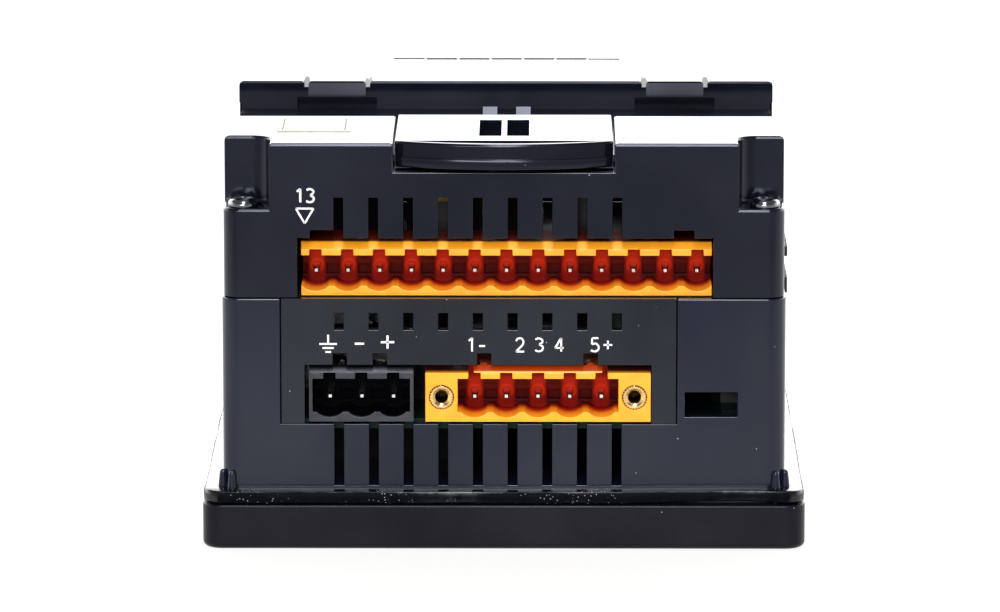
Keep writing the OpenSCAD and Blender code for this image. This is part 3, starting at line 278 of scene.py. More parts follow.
def orange_plastic(name, front_y, first_x, board_z, top_h):
    """Orange header plastic: painted shade turns it dark red deep in the cavity and darkens its top and ridge, a
    painted glow lightens it round each pin, and it shines less deep inside and on the ridge.
    """
    m, t, b = material(name, Roughness=0.34, IOR=1.5)
    p = t.coords()
    x, y, z = t.axes(p)
    base = t.mottled(p, 0.35, (0.94, 0.325, 0.011), (0.98, 0.385, 0.015))
    depth = t.remap(y, front_y + 2.4, front_y + 8.0, 0, 1, True)
    above = t.remap(z, board_z + top_h - 0.12, board_z + top_h - 0.02, 0, 1)
    # painted shade: the orange turns dark red going deeper into the cavity
    mid = t.mix(t.remap(depth, 0.0, 0.5, 0, 1), base, (0.72, 0.035, 0.002))
    from_pin = t.math("PINGPONG", t.math("SUBTRACT", x, first_x - 10 * PITCH), PITCH / 2)
    # painted shade, darkest in the pockets between the pins and lighter next to each pin
    deep_shade_red = t.mix(t.remap(from_pin, 1.0, 1.7, 0, 1, True), (0.17, 0.0018, 0.0006), (0.05, 0.0005, 0.0005))
    deep = t.mix(t.remap(depth, 0.40, 1.0, 0, 1), mid, deep_shade_red)
    # painted shade on the top: dark red behind its front edge
    top = t.mix(t.remap(y, front_y + 1.15, front_y + 2.2, 0, 1), base, (0.16, 0.010, 0.003))
    ridge = t.remap(z, board_z + top_h + 0.10, board_z + top_h + 0.35, 0, 1, True)
    # painted shade on the ridge: a dark red
    t.link(t.mix(ridge, t.mix(above, deep, top), (0.34, 0.035, 0.003)), b.inputs["Base Color"])
    # painted glow inside the cavity, standing in for light that seeps through the plastic, with a brighter painted
    # highlight ring round each pin
    inside = t.times(depth, t.math("SUBTRACT", 1.0, above))
    up = t.math("SUBTRACT", z, board_z + PIN_Z)
    glow = t.times(t.remap(from_pin, 0.6, 1.5, 0.20, 0.03, True), t.remap(up, -1.8, 1.2, 0.2, 1.4, True),
                   t.remap(up, 1.9, 2.9, 1.0, 0.25, True))
    away = t.math("SQRT", t.math("ADD", t.math("POWER", from_pin, 2.0), t.math("POWER", up, 2.0)))
    off_ring = t.math("ABSOLUTE", t.math("SUBTRACT", away, 0.92))
    ring = t.math("SUBTRACT", 1.0, t.times(off_ring, 2.8), True)
    ring = t.times(ring, t.remap(y, front_y + 7.0, front_y + 7.6, 0, 0.15))
    b.inputs["Emission Color"].default_value = (1.0, 0.045, 0.006, 1)
    t.link(t.times(t.math("ADD", glow, ring), inside), b.inputs["Emission Strength"])
    level = t.times(t.remap(depth, 0.2, 0.9, 0.5, 0.06), t.remap(ridge, 0, 1, 1.0, 0.15))
    t.link(level, b.inputs["Specular IOR Level"])
    t.finish(b, p, (0.28, 0.42), 1.3, 3.0, 0.15)
    return m


def black_header(name, front_y, board_z, top_h):
    """Black header plastic: a painted sheen makes its front rim grey and painted shade makes it near-black and
    dull inside; a faint shine on its top.
    """
    m, t, b = material(name, Roughness=0.32, IOR=1.5, Specular_Tint=(0.6, 0.63, 0.8))
    p = t.coords()
    _, y, z = t.axes(p)
    depth = t.remap(y, front_y + 0.20, front_y + 0.9, 0, 1, True)
    # painted sheen: the front rim is grey; painted shade: the inside is near-black
    rim = t.mottled(p, 0.5, (0.030, 0.030, 0.035), (0.044, 0.044, 0.050))
    t.link(t.mix(depth, rim, (0.0010, 0.0010, 0.0014)), b.inputs["Base Color"])
    above = t.remap(z, board_z + top_h - 0.12, board_z + top_h - 0.02, 0, 1)
    level = t.math("ADD", t.remap(depth, 0, 1, 0.30, 0.03), t.times(above, 0.09), True)
    t.link(level, b.inputs["Specular IOR Level"])
    t.finish(b, p, (0.26, 0.38), 1.3, 3.0, 0.15)
    return m


def metal(name, base, rough):
    """Plated metal with fine grain and dull patches."""
    m, t, b = material(name, Metallic=1.0, Roughness=sum(rough) / 2)
    p = t.coords()
    t.link(t.mottled(p, 0.9, base, tuple(c * 0.8 for c in base)), b.inputs["Base Color"])
    t.finish(b, p, rough, 1.7, 3.0, 0.12, 5.0)
    return m


def board():
    """Dark solder mask with a faint pattern of rectangles."""
    m, t, b = material("board_fine", Roughness=0.35, IOR=1.5, Specular_IOR_Level=0.12)
    p = t.coords()
    brick = t.add("TexBrick", i_Vector=p, i_Scale=0.42, i_Color1=(0.0012, 0.006, 0.003, 1),
                  i_Color2=(0.002, 0.009, 0.005, 1), i_Mortar=(0.004, 0.016, 0.009, 1))
    brick.inputs["Mortar Size"].default_value = 0.03
    t.link(brick.outputs["Color"], b.inputs["Base Color"])
    t.finish(b, p, (0.28, 0.45), 0.8, 3.0, 0.2, 2.5)
    return m


def painted(name, base, rough, grain=0.2, dark=0.75, **more):
    """Plain coloured solid with fine mottling."""
    m, t, b = material(name, Roughness=sum(rough) / 2, **more)
    p = t.coords()
    t.link(t.mottled(p, 0.6, base, tuple(c * dark for c in base), spread=0.2), b.inputs["Base Color"])
    t.finish(b, p, rough, 1.5, 2.0, grain, distance=0.00004)
    return m


def foam():
    """Rubber foam with patches of crumbs, smooth on top and dull on its outer side."""
    m, t, b = material("gasket_foam_fine", Roughness=0.55, IOR=1.45)
    p = t.coords()
    base = t.mottled(p, 0.5, (0.0016, 0.0019, 0.0032), (0.0032, 0.0036, 0.0056), 4.0)
    dots = t.add("TexVoronoi", i_Vector=p, i_Scale=1.7).outputs["Distance"]
    crumbs = t.times(t.math("LESS_THAN", dots, 0.16), t.remap(t.noise(p, 0.12), 0.5, 0.62, 0, 1))
    t.link(t.mix(t.times(crumbs, 0.8), base, (0.30, 0.30, 0.32)), b.inputs["Base Color"])
    x, y, _ = t.axes(p)
    out = t.math("MAXIMUM", t.math("ABSOLUTE", x), t.math("ABSOLUTE", y))
    edge = t.remap(out, 47.72, 47.95, 0, 1, True)
    side_rough = t.remap(t.noise(p, 1.0, 3.0), 0.3, 0.7, 0.40, 0.62)
    skin = t.add("Mix", data_type="FLOAT", i_Factor=edge, i_A=0.16, i_B=side_rough)
    t.link(skin.outputs[0], b.inputs["Roughness"])
    t.link(t.remap(edge, 0, 1, 0.5, 0.025), b.inputs["Specular IOR Level"])
    rough_skin = t.bump(t.noise(p, 1.1, 4.0, 0.6), 0.4, 0.00008)
    t.link(t.bump(t.noise(p, 6.0), 0.3, 0.00004, rough_skin), b.inputs["Normal"])
    return m


def past_edge(t, p, lo, hi):
    """Distance in mm past the outline of a box seen from above, negative inside it."""
    x, y, _ = t.axes(p)
    sides = []
    for at, a, b in ((x, lo.x, hi.x), (y, lo.y, hi.y)):
        off = t.math("ABSOLUTE", t.math("SUBTRACT", at, (a + b) / 2))
        sides.append(t.math("SUBTRACT", off, (b - a) / 2))
    return t.math("MAXIMUM", *sides)


def line_at(t, distance, at, half_width):
    """1 on a line along a distance, or else 0."""
    return t.math("LESS_THAN", t.math("ABSOLUTE", t.math("SUBTRACT", distance, at)), half_width)


def label_paper():
    """Blank label stock: slightly yellow, with a printed frame and ruled lines."""
    m, t, b = material("label_paper_fine", Roughness=0.5)
    p = t.coords()
    lo, hi = [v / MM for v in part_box("rear_label")]
    edge = past_edge(t, p, lo, hi)
    frame_line = line_at(t, edge, -0.9, 0.11)
    _, y, _ = t.axes(p)
    rows = t.math("PINGPONG", t.math("SUBTRACT", y, lo.y - 30.0), 1.15)
    ruled = t.times(t.math("LESS_THAN", rows, 0.06), t.math("LESS_THAN", edge, -0.9))
    ink = t.math("MAXIMUM", frame_line, ruled)
    tone = t.mottled(p, 0.6, (0.62, 0.60, 0.47), (0.58, 0.56, 0.43), spread=0.2)
    t.link(t.mix(t.times(ink, 0.9), tone, (0.02, 0.02, 0.025)), b.inputs["Base Color"])
    t.finish(b, p, (0.45, 0.6), 1.5, 2.0, 0.2)
    return m


def overlay():
    """Front sheet: matt print with a thin frame round a clear, glossy window over the display."""
    m, t, b = material("front_sheet_fine", Roughness=0.4)
    p = t.coords()
    lo, hi = [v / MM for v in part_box("touch_panel")]
    edge = past_edge(t, p, lo, hi)
    window = t.math("LESS_THAN", edge, -2.2)
    sheet = t.mottled(p, 0.6, (0.020, 0.021, 0.026), (0.015, 0.016, 0.020), spread=0.2)
    tone = t.mix(line_at(t, edge, -1.5, 0.3), sheet, (0.11, 0.115, 0.13))
    t.link(t.mix(window, tone, (0.0035, 0.0055, 0.0060)), b.inputs["Base Color"])
    matt = t.remap(t.noise(p, 1.5), 0.3, 0.7, 0.34, 0.48)
    t.link(t.times(matt, t.remap(window, 0, 1, 1.0, 0.2)), b.inputs["Roughness"])
    t.link(t.bump(t.noise(p, 4.0), 0.12, 0.00003), b.inputs["Normal"])
    return m


def topped(name, side, top, z0, z1):
    """Dark side that turns into the top's colour between two heights."""
    rough = (0.3, 0.45)
    m, t, b = material(name, Roughness=sum(rough) / 2)
    p = t.coords()
    _, _, z = t.axes(p)
    side_tone = t.mottled(p, 0.9, side, tuple(c * 0.7 for c in side))
    t.link(t.mix(t.remap(z, z0, z1, 0, 1), side_tone, top), b.inputs["Base Color"])
    t.finish(b, p, rough, 1.5, 2.0, 0.15)
    return m


BLACK = (0.0028, 0.0034, 0.0068)
M = {
    "case": plastic("case_plastic_fine", (0.0035, 0.0045, 0.0125), (0.13, 0.21), grain=0.10, dust=0.44,
                    tint=(0.90, 0.93, 1.0), ior=1.50, sheen=0.86),
    "cover": plastic("cover_plastic_fine", BLACK, (0.12, 0.19), grain=0.08, dust=0.36, tint=(0.78, 0.80, 1.0),
                     sheen=0.92, matt_channel=True),
    "latch": plastic("latch_plastic_fine", BLACK, (0.11, 0.17), grain=0.08, dust=0.36, tint=(0.78, 0.78, 0.95),
                     sheen=0.9),
    "panel": plastic("panel_plastic_fine", (0.0050, 0.0050, 0.0075), (0.18, 0.27), grain=0.16, dust=0.46,
                     tint=(0.78, 0.88, 1.0), ior=1.50, sheen=0.88),
    "bezel": plastic("bezel_plastic_fine", (0.0032, 0.0032, 0.0044), (0.28, 0.38), grain=0.35, dust=0.40,
                     tint=(0.60, 0.60, 0.72), sheen=0.6),
    "orange": orange_plastic("header_orange_fine", IO_FRONT_Y, IO_X, IO_BOARD_Z, IO_TOP_H),
    "orange_bus": orange_plastic("header_orange_bus", BUS_FRONT_Y, BUS_X, MAIN_BOARD_Z, BUS_TOP_H),
    "power_black": black_header("power_header_fine", BUS_FRONT_Y, MAIN_BOARD_Z, BUS_TOP_H),
    "tin": metal("tin_fine", (0.92, 0.91, 0.90), (0.16, 0.32)),
    "brass": metal("brass_fine", (0.83, 0.60, 0.27), (0.2, 0.34)),
    "zinc": metal("zinc_fine", (0.24, 0.245, 0.26), (0.10, 0.20)),
    # painted shade: the insert's bore is a dark brass
    "bore": metal("insert_bore_fine", (0.10, 0.055, 0.018), (0.35, 0.5)),
    "spring": metal("spring_fine", (0.62, 0.63, 0.66), (0.18, 0.3)),
    "frame": metal("display_frame_fine", (0.55, 0.56, 0.58), (0.3, 0.45)),
    "can": metal("can_fine", (0.66, 0.67, 0.69), (0.22, 0.36)),
    "board": board(),
    "chip": painted("chip_fine", (0.012, 0.012, 0.014), (0.4, 0.6)),
    "white": painted("white_part_fine", (0.62, 0.61, 0.57), (0.35, 0.5), dark=0.88),
    "film_cap": topped("film_capacitor_fine", (0.006, 0.004, 0.002), (0.70, 0.36, 0.02), 53.0, 53.6),
    "io_can": topped("io_can_fine", (0.004, 0.004, 0.006), (0.34, 0.35, 0.38), 54.1, 54.5),
    # painted shade: parts inside the case, seen through the vents, are near-black with little shine
    "interior_shade_dark": painted("interior_shade_dark_fine", (0.006, 0.006, 0.007), (0.4, 0.55), Specular_IOR_Level=0.12),
    "paper": label_paper(),
    "overlay": overlay(),
    "print": painted("white_print_fine", (0.86, 0.86, 0.88), (0.4, 0.55), dark=0.93),
    "rubber": painted("port_rubber_fine", (0.010, 0.010, 0.013), (0.5, 0.7), grain=0.4),
    "film": painted("sensor_film_fine", (0.55, 0.52, 0.44), (0.3, 0.45)),
    "glass": painted("display_glass_fine", (0.016, 0.022, 0.024), (0.04, 0.09), grain=0.02),
    "sleeve": painted("sleeve_fine", (0.010, 0.012, 0.020), (0.3, 0.45)),
    "foam": foam(),
}
SLOT_LOOK = {
    "case_plastic": "case", "printed_sheet": "overlay", "sensor_film": "film", "display_glass": "glass",
    "display_frame": "frame", "board_laminate": "board", "gasket_foam": "foam", "port_rubber": "rubber",
    "zinc_steel": "zinc", "spring_steel": "spring", "brass": "brass", "tinned_contact": "tin",
    "header_black": "power_black", "header_orange": "orange", "chip_black": "chip", "part_white": "white",
    "part_yellow": "film_cap", "can_aluminium": "can", "label_paper": "paper",
}
NODE_LOOK = {
    "io_cover": "cover", "connector_panel": "panel", "front_bezel": "bezel", "din_latch": "latch",
    "bus_header": "orange_bus", "main_capacitors": "sleeve", "io_capacitors": "io_can",
    # these inside parts take the near-black of painted shade
    "output_relays": "interior_shade_dark", "battery_holder": "interior_shade_dark", "front_connector": "interior_shade_dark",
    "front_socket": "interior_shade_dark",
}
SLOT_OF = {s["node"]: s["material_slot"] for s in frame["record"]["subparts"]}


def look_of(node):
    return NODE_LOOK.get(node, SLOT_LOOK[SLOT_OF[node]])


for node_name in SLOT_OF:
    materials = NODES[node_name].data.materials
    materials.clear()
    materials.append(M[look_of(node_name)])


# ---- geometry helpers
def body_of(node):
    return "latch" if node == "din_latch" else "controller"


def new_piece(name, me, look, body, slot, *replaced):
    ob = bpy.data.objects.new(name, me)
    scene.collection.objects.link(ob)
    me.materials.clear()
    me.materials.append(M[look])
    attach(ob, body)
    if replaced:
        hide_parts(*replaced)
    return ob


def sharp_shading(me, limit=33):
    """Smooth faces with a crease wherever two faces meet at more than the limit."""
    bm = bmesh.new()
    bm.from_mesh(me)
    for f in bm.faces:
        f.smooth = True
    for e in bm.edges:
        e.smooth = not (len(e.link_faces) == 2 and e.calc_face_angle(0) > math.radians(limit))
    bm.to_mesh(me)
    bm.free()


def evaluated(ob):
    """Mesh of an object with its modifiers applied."""
    bpy.context.view_layer.update()
    return bpy.data.meshes.new_from_object(ob.evaluated_get(bpy.context.evaluated_depsgraph_get()))


def even_normals(ob):
    """Large faces keep flat shading next to small rounded ones."""
    ob.modifiers.new("normals", "WEIGHTED_NORMAL").keep_sharp = True


def rounded_copy(node, width, rule, segments=2, drop=None):
    """Copy of a CAD node with its sharp edges rounded; rule gives an edge's radius in mm, or 0.

    Faces for which drop is true are left out and the opening is closed flat."""
    me = NODES[node].data.copy()
    bm = bmesh.new()
    bm.from_mesh(me)
    bmesh.ops.remove_doubles(bm, verts=bm.verts, dist=2e-6)
    bmesh.ops.dissolve_limit(bm, angle_limit=math.radians(0.4), verts=bm.verts, edges=bm.edges)
    if drop:
        gone = [f for f in bm.faces if all(drop(v.co / MM) for v in f.verts)]
        bmesh.ops.delete(bm, geom=gone, context="FACES")
        bmesh.ops.holes_fill(bm, edges=[e for e in bm.edges if e.is_boundary], sides=0)
        bmesh.ops.recalc_face_normals(bm, faces=bm.faces)
    lay = bm.edges.layers.float.new("bevel_weight_edge")
    for e in bm.edges:
        if len(e.link_faces) != 2 or e.calc_face_angle(0) < math.radians(30):
            continue
        mid = (e.verts[0].co + e.verts[1].co) / 2 / MM
        e[lay] = rule(mid, e) / width
    bm.to_mesh(me)
    bm.free()
    ob = new_piece(node + "_fine", me, look_of(node), body_of(node), SLOT_OF[node], node)
    bev = ob.modifiers.new("round", "BEVEL")
    bev.limit_method = "WEIGHT"
    bev.width = width * MM
    bev.segments = segments
    bev.use_clamp_overlap = False
    bev.miter_outer = "MITER_SHARP"
    bev.harden_normals = False
    got = evaluated(ob)
    ob.modifiers.clear()
    ob.data = got
    sharp_shading(got)
    even_normals(ob)


# ---- cover, case, panel and bezel with rounded edges
# A rule gets an edge's middle in mm and the edge, and gives the radius to round it with, or 0
def near(v, target, tol=0.06):
    return abs(v - target) < tol


def outmost(p):
    return max(abs(p.x), abs(p.y))


def cover_rule(p, e):
    if p.z > COVER_TOP_Z - 0.1:
        if near(abs(p.y), RAIL_WALL_Y, 0.1):
            return 0.32
        return 0.8 if near(abs(p.x), COVER_W / 2, 0.2) else 0.5
    if near(p.z, LEDGE_Z):
        return 0.5
    if near(p.z, 40.35, 0.1):
        return 0.15
    if near(abs(p.y), COVER_W / 2, 0.3) or near(abs(p.x), COVER_W / 2, 0.3):
        return 0.15
    return 0


def case_rule(p, e):
    if near(p.z, 40.25, 0.1) and outmost(p) > 44:
        return 0.3
    if near(outmost(p), CASE_W / 2, 0.1) and p.z > 9:
        return 0.12
    return 0


def panel_rule(p, e):
    return 0.15 if near(p.y, -CASE_W / 2, 0.1) else 0


def bezel_rule(p, e):
    return 0.3 if near(p.z, BEZEL_H, 0.1) and outmost(p) > 44 else 0


rounded_copy("io_cover", 0.8, cover_rule, 4)
rounded_copy("main_case", 0.3, case_rule)
rounded_copy("connector_panel", 0.15, panel_rule)
rounded_copy("front_bezel", 0.35, bezel_rule, 3)


# ---- latch and headers
def latch_rule(p, e):
    along = e.verts[0].co - e.verts[1].co
    if abs(p.x) < 5 and p.y > -40 and abs(along.z) > 0.7 * along.length:
        return 0.35
    if p.z > COVER_TOP_Z - 0.1:
        if p.y < LIP_ROOT_Y + 0.1:
            return 0
        if abs(p.x) > 16.9 or p.y > -17.5:
            return 0.28
        return 0.12 if abs(p.x) < 5 else 0
    return 0


def arc_radius(half, bow):
    """Radius of an arc from half its chord and its height."""
    return (half * half + bow * bow) / (2 * bow)


def latch_lip():
    """Bowed pull lip with a step, rounded ends and a crescent-shaped finger groove behind it."""
    bm = bmesh.new()
    top, low, step_z = COVER_TOP_Z - 0.01, COVER_TOP_Z - LIP_H, COVER_TOP_Z - LIP_STEP
    half, bulge, end_r, top_r = 17.25, 3.4, 0.46, 0.42
    groove_half, groove_bow, groove_deep = 16.2, 2.6, 0.5
    bow_r = arc_radius(half, bulge)
    groove_r = arc_radius(groove_half, groove_bow)
    ends = [0.0, 0.03, 0.09, 0.18, 0.30, end_r]
    inner = [half - end_r - i * (2 * half - 2 * end_r) / 120 for i in range(1, 120)]
    stations = [half - d for d in ends] + inner + [d - half for d in reversed(ends)]
    rings = []
    for x in stations:
        from_end = half - abs(x)
        inset = end_r - math.sqrt(max(end_r ** 2 - (end_r - from_end) ** 2, 0)) if from_end < end_r else 0.0
        front = LIP_FRONT_Y + bow_r - math.sqrt(bow_r * bow_r - x * x) + inset
        high, foot = top - inset, low + inset
        groove = LIP_ROOT_Y
        if abs(x) < groove_half:
            groove = LIP_ROOT_Y - groove_bow + groove_r - math.sqrt(groove_r * groove_r - x * x)
        groove = min(groove, LIP_ROOT_Y - 0.03)
        deep = groove_deep * min(max((groove_half + 0.3 - abs(x)) / 0.9, 0.002), 1)
        ring = [(LIP_ROOT_Y + 0.05, foot), (front + 0.34, foot), (front + 0.10, foot + 0.10), (front, foot + 0.34),
                (front, step_z - 0.13), (front + 0.04, step_z - 0.04), (front + 0.13, step_z),
                (front + 0.27, step_z + 0.01), (front + 0.30, step_z + 0.06)]
        for k in range(8):
            a = math.pi / 2 * k / 7
            ring.append((front + 0.30 + top_r - top_r * math.cos(a), high - top_r + top_r * math.sin(a)))
        lip_end = max(groove - 0.05, front + 0.74)
        groove = max(groove, lip_end + 0.01)
        ring += [(lip_end, high), (groove, high - min(0.05, deep)), (groove, high - deep),
                 (LIP_ROOT_Y - 0.015, high - deep), (LIP_ROOT_Y - 0.015, high), (LIP_ROOT_Y + 0.05, high)]
        rings.append([place(x, y, z) for y, z in ring])
    bridge(bm, rings)
    nib_x, nib_z = 0.45, step_z - 0.35
    bridge(bm, [[place(nib_x + r * math.cos(a), LIP_FRONT_Y + dy, nib_z + r * math.sin(a)) for a in turns(16)]
                for dy, r in ((0.3, 0.30), (0.05, 0.28), (0.0, 0.16))])
    me = finish_mesh(bm, "latch_lip_fine", 38)
    even_normals(new_piece("latch_lip_fine", me, "latch", "latch", SLOT_OF["din_latch"]))


def header_rule(front_y):
    """Rule that rounds a header's front rim, and less the edges in its cavity."""
    def rule(p, e):
        if p.y < front_y + 1.3:
            return 0.13
        return 0.1 if p.y < front_y + 8.7 else 0
    return rule


rounded_copy("din_latch", 0.35, latch_rule, 3, lambda p: p.y < LIP_ROOT_Y + 0.01)
rounded_copy("io_header", 0.13, header_rule(IO_FRONT_Y))
rounded_copy("bus_header", 0.13, header_rule(BUS_FRONT_Y))
rounded_copy("power_header", 0.13, header_rule(BUS_FRONT_Y))


# ---- pins, inserts and screws
def place(x, y, z):
    return Vector((x, y, z)) * MM


def turns(n):
    return [2 * math.pi * i / n for i in range(n)]


def bridge(bm, rings):
    """Closed skin of quads over a list of rings with equal numbers of points."""
    verts = [[bm.verts.new(p) for p in ring] for ring in rings]
    n = len(rings[0])
    for a, b in zip(verts, verts[1:]):
        for i in range(n):
            bm.faces.new((a[i], a[(i + 1) % n], b[(i + 1) % n], b[i]))
    bm.faces.new(list(reversed(verts[0])))
    bm.faces.new(verts[-1])


def finish_mesh(bm, name, limit=33):
    bmesh.ops.recalc_face_normals(bm, faces=bm.faces)
    me = bpy.data.meshes.new(name)
    bm.to_mesh(me)
    bm.free()
    sharp_shading(me, limit)
    return me


def square_ring(half, cut):
    """Square with cut corners, as pairs around its middle."""
    a, c = half, half - cut
    return [(-c, -a), (c, -a), (a, -c), (a, c), (c, a), (-c, a), (-a, c), (-a, -c)]


def pins(node, count, x0, front_y, board_z):
    """Row of bent square pins with chamfered tips in the header and legs through the board."""
    bm = bmesh.new()
    z = board_z + PIN_Z
    half = PIN_W / 2
    for i in range(count):
        x = x0 + (i - (count - 1) / 2) * PITCH
        tip = front_y + PIN_SETBACK
        back = front_y + PIN_LEG_Y + half
        steps = ((tip, 0.24, 0.05), (tip + 0.10, 0.30, 0.06), (tip + 1.0, half, 0.09), (back, half, 0.09))
        bridge(bm, [[place(x + u, y, z + v) for u, v in square_ring(h, c)] for y, h, c in steps])
        leg = ((z - half + 0.02, half, 0.09), (z - PIN_Z - 2.4, half, 0.09), (z - PIN_Z - 3.2, 0.3, 0.06))
        mid = back - half
        bridge(bm, [[place(x + u, mid + v, w) for u, v in square_ring(h, c)] for w, h, c in leg])
    name = node + "_fine"
    new_piece(name, finish_mesh(bm, name), "tin", "controller", SLOT_OF[node], node)


def springs():
    """Copy of the CAD springs, which sit between the latch and their fixed ends, with smooth shading."""
    me = NODES["latch_springs"].data.copy()
    sharp_shading(me, 40)
    ob = new_piece("latch_springs_fine", me, "spring", "controller", SLOT_OF["latch_springs"], "latch_springs")
    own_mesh(ob)


latch_lip()
springs()
pins("io_pins", 13, IO_X, IO_FRONT_Y, IO_BOARD_Z)
pins("bus_pins", 5, BUS_X, BUS_FRONT_Y, MAIN_BOARD_Z)
pins("power_pins", 3, POWER_X, BUS_FRONT_Y, MAIN_BOARD_Z)


def inserts():
    """Knurled brass inserts with a countersunk mouth and a threaded bore."""
    bm = bmesh.new()
    turn = turns(104)
    knurl = [0.91 if i % 4 < 2 else 1.0 for i in range(len(turn))]
    smooth = [1.0] * len(turn)
    steps = [(8.0, INSERT_R, knurl), (0.10, INSERT_R, knurl), (0.0, INSERT_R - 0.10, knurl),
             (0.0, INSERT_R - 0.30, smooth), (0.0, BORE_R + 0.42, smooth), (0.38, BORE_R, smooth)]
    for k in range(22):
        steps.append((0.48 + 0.22 * k, BORE_R - (0.11 if k % 2 == 0 else 0.0), smooth))
    steps.append((7.0, BORE_R, smooth))
    for x in INSERT_X:
        bridge(bm, [[place(x + r * g * math.cos(a), BUS_FRONT_Y + d, INSERT_Z + r * g * math.sin(a))
                     for a, g in zip(turn, grip)] for d, r, grip in steps])
    ob = new_piece("bus_inserts_fine", finish_mesh(bm, "bus_inserts_fine", 40), "brass", "controller",
                   SLOT_OF["bus_inserts"], "bus_inserts")
    # the bore's faces take the dark brass that paints shade into the hole
    ob.data.materials.append(M["bore"])
    for f in ob.data.polygons:
        x, y, z = f.center / MM
        out = min(math.hypot(x - at, z - INSERT_Z) for at in INSERT_X)
        if y > BUS_FRONT_Y + 0.42 and out < BORE_R + 0.05:
            f.material_index = 1


inserts()


def screw_mesh():
    """Meshes of a pan-head screw, with the head's seat at the origin, and of the cross to cut into it."""
    bm = bmesh.new()
    turn = turns(64)
    prof = [(0.0, 2.30), (0.10, 2.42), (0.35, 2.45), (0.62, 2.40), (0.88, 2.22), (1.10, 1.92), (1.26, 1.50),
            (1.36, 1.0), (1.40, 0.5)]
    shank = [(-25.0, 0.6), (-24.0, 1.22), (-0.05, 1.22), (0.0, 1.25)]
    bridge(bm, [[place(r * math.cos(a), r * math.sin(a), z) for a in turn] for z, r in shank + prof])
    head = bpy.data.meshes.new("screw_head")
    bmesh.ops.recalc_face_normals(bm, faces=bm.faces)
    bm.to_mesh(head)
    bm.free()
    cutter = bmesh.new()
    for a in (0, 90):
        rot = Matrix.Rotation(math.radians(a), 3, "Z")
        low = [(-0.55, -0.16), (0.55, -0.16), (0.55, 0.16), (-0.55, 0.16)]
        top = [(-1.45, -0.27), (1.45, -0.27), (1.45, 0.27), (-1.45, 0.27)]
        bridge(cutter, [[rot @ place(x, y, 0.25) for x, y in low], [rot @ place(x, y, 1.8) for x, y in top]])
    bmesh.ops.recalc_face_normals(cutter, faces=cutter.faces)
    cross = bpy.data.meshes.new("cross")
    cutter.to_mesh(cross)
    cutter.free()
    return head, cross


def screws():
    """Four cover screws, each turned differently."""
    head, cross = (bpy.data.objects.new(me.name + "_work", me) for me in screw_mesh())
    for ob in (head, cross):
        scene.collection.objects.link(ob)
    cut = head.modifiers.new("cross", "BOOLEAN")
    cut.object, cut.operation, cut.solver, cut.use_self = cross, "DIFFERENCE", "EXACT", True
    one = evaluated(head)
    for ob in (head, cross):
        bpy.data.objects.remove(ob)
    bm = bmesh.new()
    for sx, sy, degrees in ((-1, -1, 20), (1, -1, 63), (1, 1, 5), (-1, 1, 40)):
        part = one.copy()
        part.transform(Matrix.Translation(place(sx * SCREW_AT, sy * SCREW_AT, LEDGE_Z + 0.02))
                       @ Matrix.Rotation(math.radians(degrees), 4, "Z"))
        bm.from_mesh(part)
    new_piece("cover_screws_fine", finish_mesh(bm, "cover_screws_fine", 38), "zinc", "controller",
              SLOT_OF["cover_screws"], "cover_screws")


screws()


# ---- gasket: wavy foam ring, lifted a little at the right of the front
def rounded_square(half, r, step):
    """Points round a square with rounded corners, each with its outward direction."""
    out = []
    s = half - r
    on_side, on_corner = max(2, round(2 * s / step)), 10
    for k in range(4):
        rot = Matrix.Rotation(math.pi / 2 * k, 2)
        for i in range(on_side):
            out.append((rot @ Vector((-s + 2 * s * i / on_side, -half)), rot @ Vector((0, -1))))
        for i in range(on_corner):
            a = -math.pi / 2 + math.pi / 2 * i / on_corner
            d = Vector((math.cos(a), math.sin(a)))
            out.append((rot @ (Vector((s, -s)) + d * r), rot @ d))
    return out


def wobble(q, scale, seed):
    return noise.noise(Vector((q.x * scale, q.y * scale, seed)))


def gasket():
    bm = bmesh.new()
    rings = []
    corner_r, step, highest_lift, wall = 3.3, 0.55, 0.45, 2.85
    for q, d in rounded_square(GASKET_W / 2, corner_r, step):
        wave = wobble(q, 0.09, 3.0) * 0.16 + wobble(q, 0.5, 9.0) * 0.07
        lift = 0.0
        if q.y < -40:
            f = min(max((q.x - 14) / 20, 0), 1)
            lift = highest_lift * f * f * (3 - 2 * f) * min(max((47.5 - q.x) / 5, 0), 1)
        z0 = max(BEZEL_H + 0.10 + lift + wobble(q, 0.2, 1.0) * 0.08, BEZEL_H + 0.02)
        z1 = BEZEL_H + GASKET_T + lift * 0.4 + wobble(q, 0.15, 5.0) * 0.10
        ring = []
        for inset, z in ((0.75, z0), (0.32, z0 + 0.16), (0.16, z0 + 0.42), (0.08, (z0 + z1) / 2 + 0.1),
                         (0.14, z1 - 0.30), (0.30, z1 - 0.10), (0.62, z1)):
            at = q - d * max(inset + wave + wobble(q, 1.3, z * 1.3) * 0.05, 0.02)
            ring.append(place(at.x, at.y, z))
        inner = q - d * wall
        ring += [place(inner.x, inner.y, z1), place(inner.x, inner.y, z0)]
        rings.append(ring)
    verts = [[bm.verts.new(v) for v in ring] for ring in rings]
    for a, b in zip(verts, verts[1:] + verts[:1]):
        for i in range(len(a)):
            j = (i + 1) % len(a)
            bm.faces.new((a[i], a[j], b[j], b[i]))
    new_piece("panel_gasket_fine", finish_mesh(bm, "panel_gasket_fine", 60), "foam", "controller",
              SLOT_OF["panel_gasket"], "panel_gasket")


gasket()


# ---- generic marks in white print: plain numbers, plus, minus, earth sign and a triangle
def flat_shape(bm, outline, y, depth=0.012):
    """Thin plate in a plane of constant y from an outline of (x, z) pairs."""
    bridge(bm, [[place(x, y, z) for x, z in outline], [place(x, y - depth, z) for x, z in outline]])


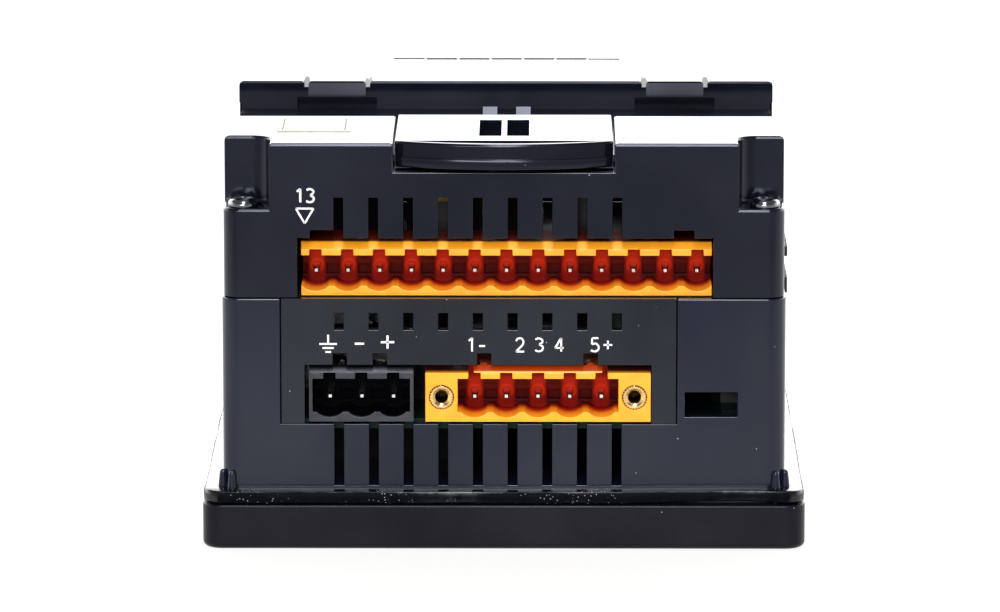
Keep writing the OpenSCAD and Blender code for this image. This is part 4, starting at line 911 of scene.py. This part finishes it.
def stroke(bm, a, b, width, y):
    """Straight line between two (x, z) points."""
    ax, az = a
    bx, bz = b
    length = math.hypot(bx - ax, bz - az)
    ux, uz = (bx - ax) / length * width / 2, (bz - az) / length * width / 2
    flat_shape(bm, [(ax - uz, az + ux), (ax + uz, az - ux), (bx + uz, bz - ux), (bx - uz, bz + ux)], y)


# Each digit as one line of points, in shares of its width and height
DIGITS = {
    "1": [(0.2, 0.78), (0.55, 1), (0.55, 0)],
    "2": [(0.1, 0.78), (0.3, 0.98), (0.7, 0.98), (0.9, 0.75), (0.8, 0.5), (0.1, 0), (0.95, 0)],
    "3": [(0.1, 0.9), (0.4, 1), (0.8, 0.9), (0.85, 0.68), (0.5, 0.53), (0.9, 0.35), (0.8, 0.08), (0.4, 0),
          (0.05, 0.1)],
    "4": [(0.7, 0), (0.7, 1), (0.05, 0.28), (0.95, 0.28)],
    "5": [(0.85, 1), (0.2, 1), (0.15, 0.55), (0.6, 0.62), (0.9, 0.4), (0.85, 0.12), (0.45, 0), (0.05, 0.1)],
}


def polyline(bm, points, width, y):
    for a, b in zip(points, points[1:]):
        stroke(bm, a, b, width, y)


def digit(bm, char, x, z, w, h, width, y):
    polyline(bm, [(x + u * w, z + v * h) for u, v in DIGITS[char]], width, y)


def marks():
    bm = bmesh.new()
    bold, thin = 0.34, 0.3
    cover_y, panel_y = -COVER_W / 2 - 0.004, -CASE_W / 2 - 0.004
    digit(bm, "1", -33.2, 55.8, 1.5, 2.2, bold, cover_y)
    digit(bm, "3", -31.5, 55.8, 1.45, 2.2, bold, cover_y)
    polyline(bm, [(-33.1, 54.8), (-30.3, 54.8), (-31.7, 52.4), (-33.1, 54.8)], thin, cover_y)
    # earth sign
    earth_x = -28.05
    stroke(bm, (earth_x, 34.4), (earth_x, 32.9), thin, panel_y)
    for half, z in ((1.4, 32.9), (0.9, 32.25), (0.45, 31.6)):
        stroke(bm, (earth_x - half, z), (earth_x + half, z), thin, panel_y)
    # minus and plus of the power header
    stroke(bm, (-23.8, 32.95), (-22.3, 32.95), bold, panel_y)
    stroke(bm, (-19.65, 33.2), (-17.5, 33.2), bold, panel_y)
    stroke(bm, (-18.57, 32.15), (-18.57, 34.3), bold, panel_y)
    # numbers, minus and plus of the bus header
    for char, x in (("1", -5.9), ("2", 1.8), ("3", 4.9), ("4", 8.1), ("5", 13.8)):
        digit(bm, char, x, 31.7, 1.5, 2.2, thin, panel_y)
    stroke(bm, (-3.95, 32.6), (-3.0, 32.6), thin, panel_y)
    stroke(bm, (15.9, 32.8), (17.3, 32.8), thin, panel_y)
    stroke(bm, (16.6, 32.1), (16.6, 33.5), thin, panel_y)
    new_piece("white_marks", finish_mesh(bm, "white_marks"), "print", "controller", "label_paper")


marks()
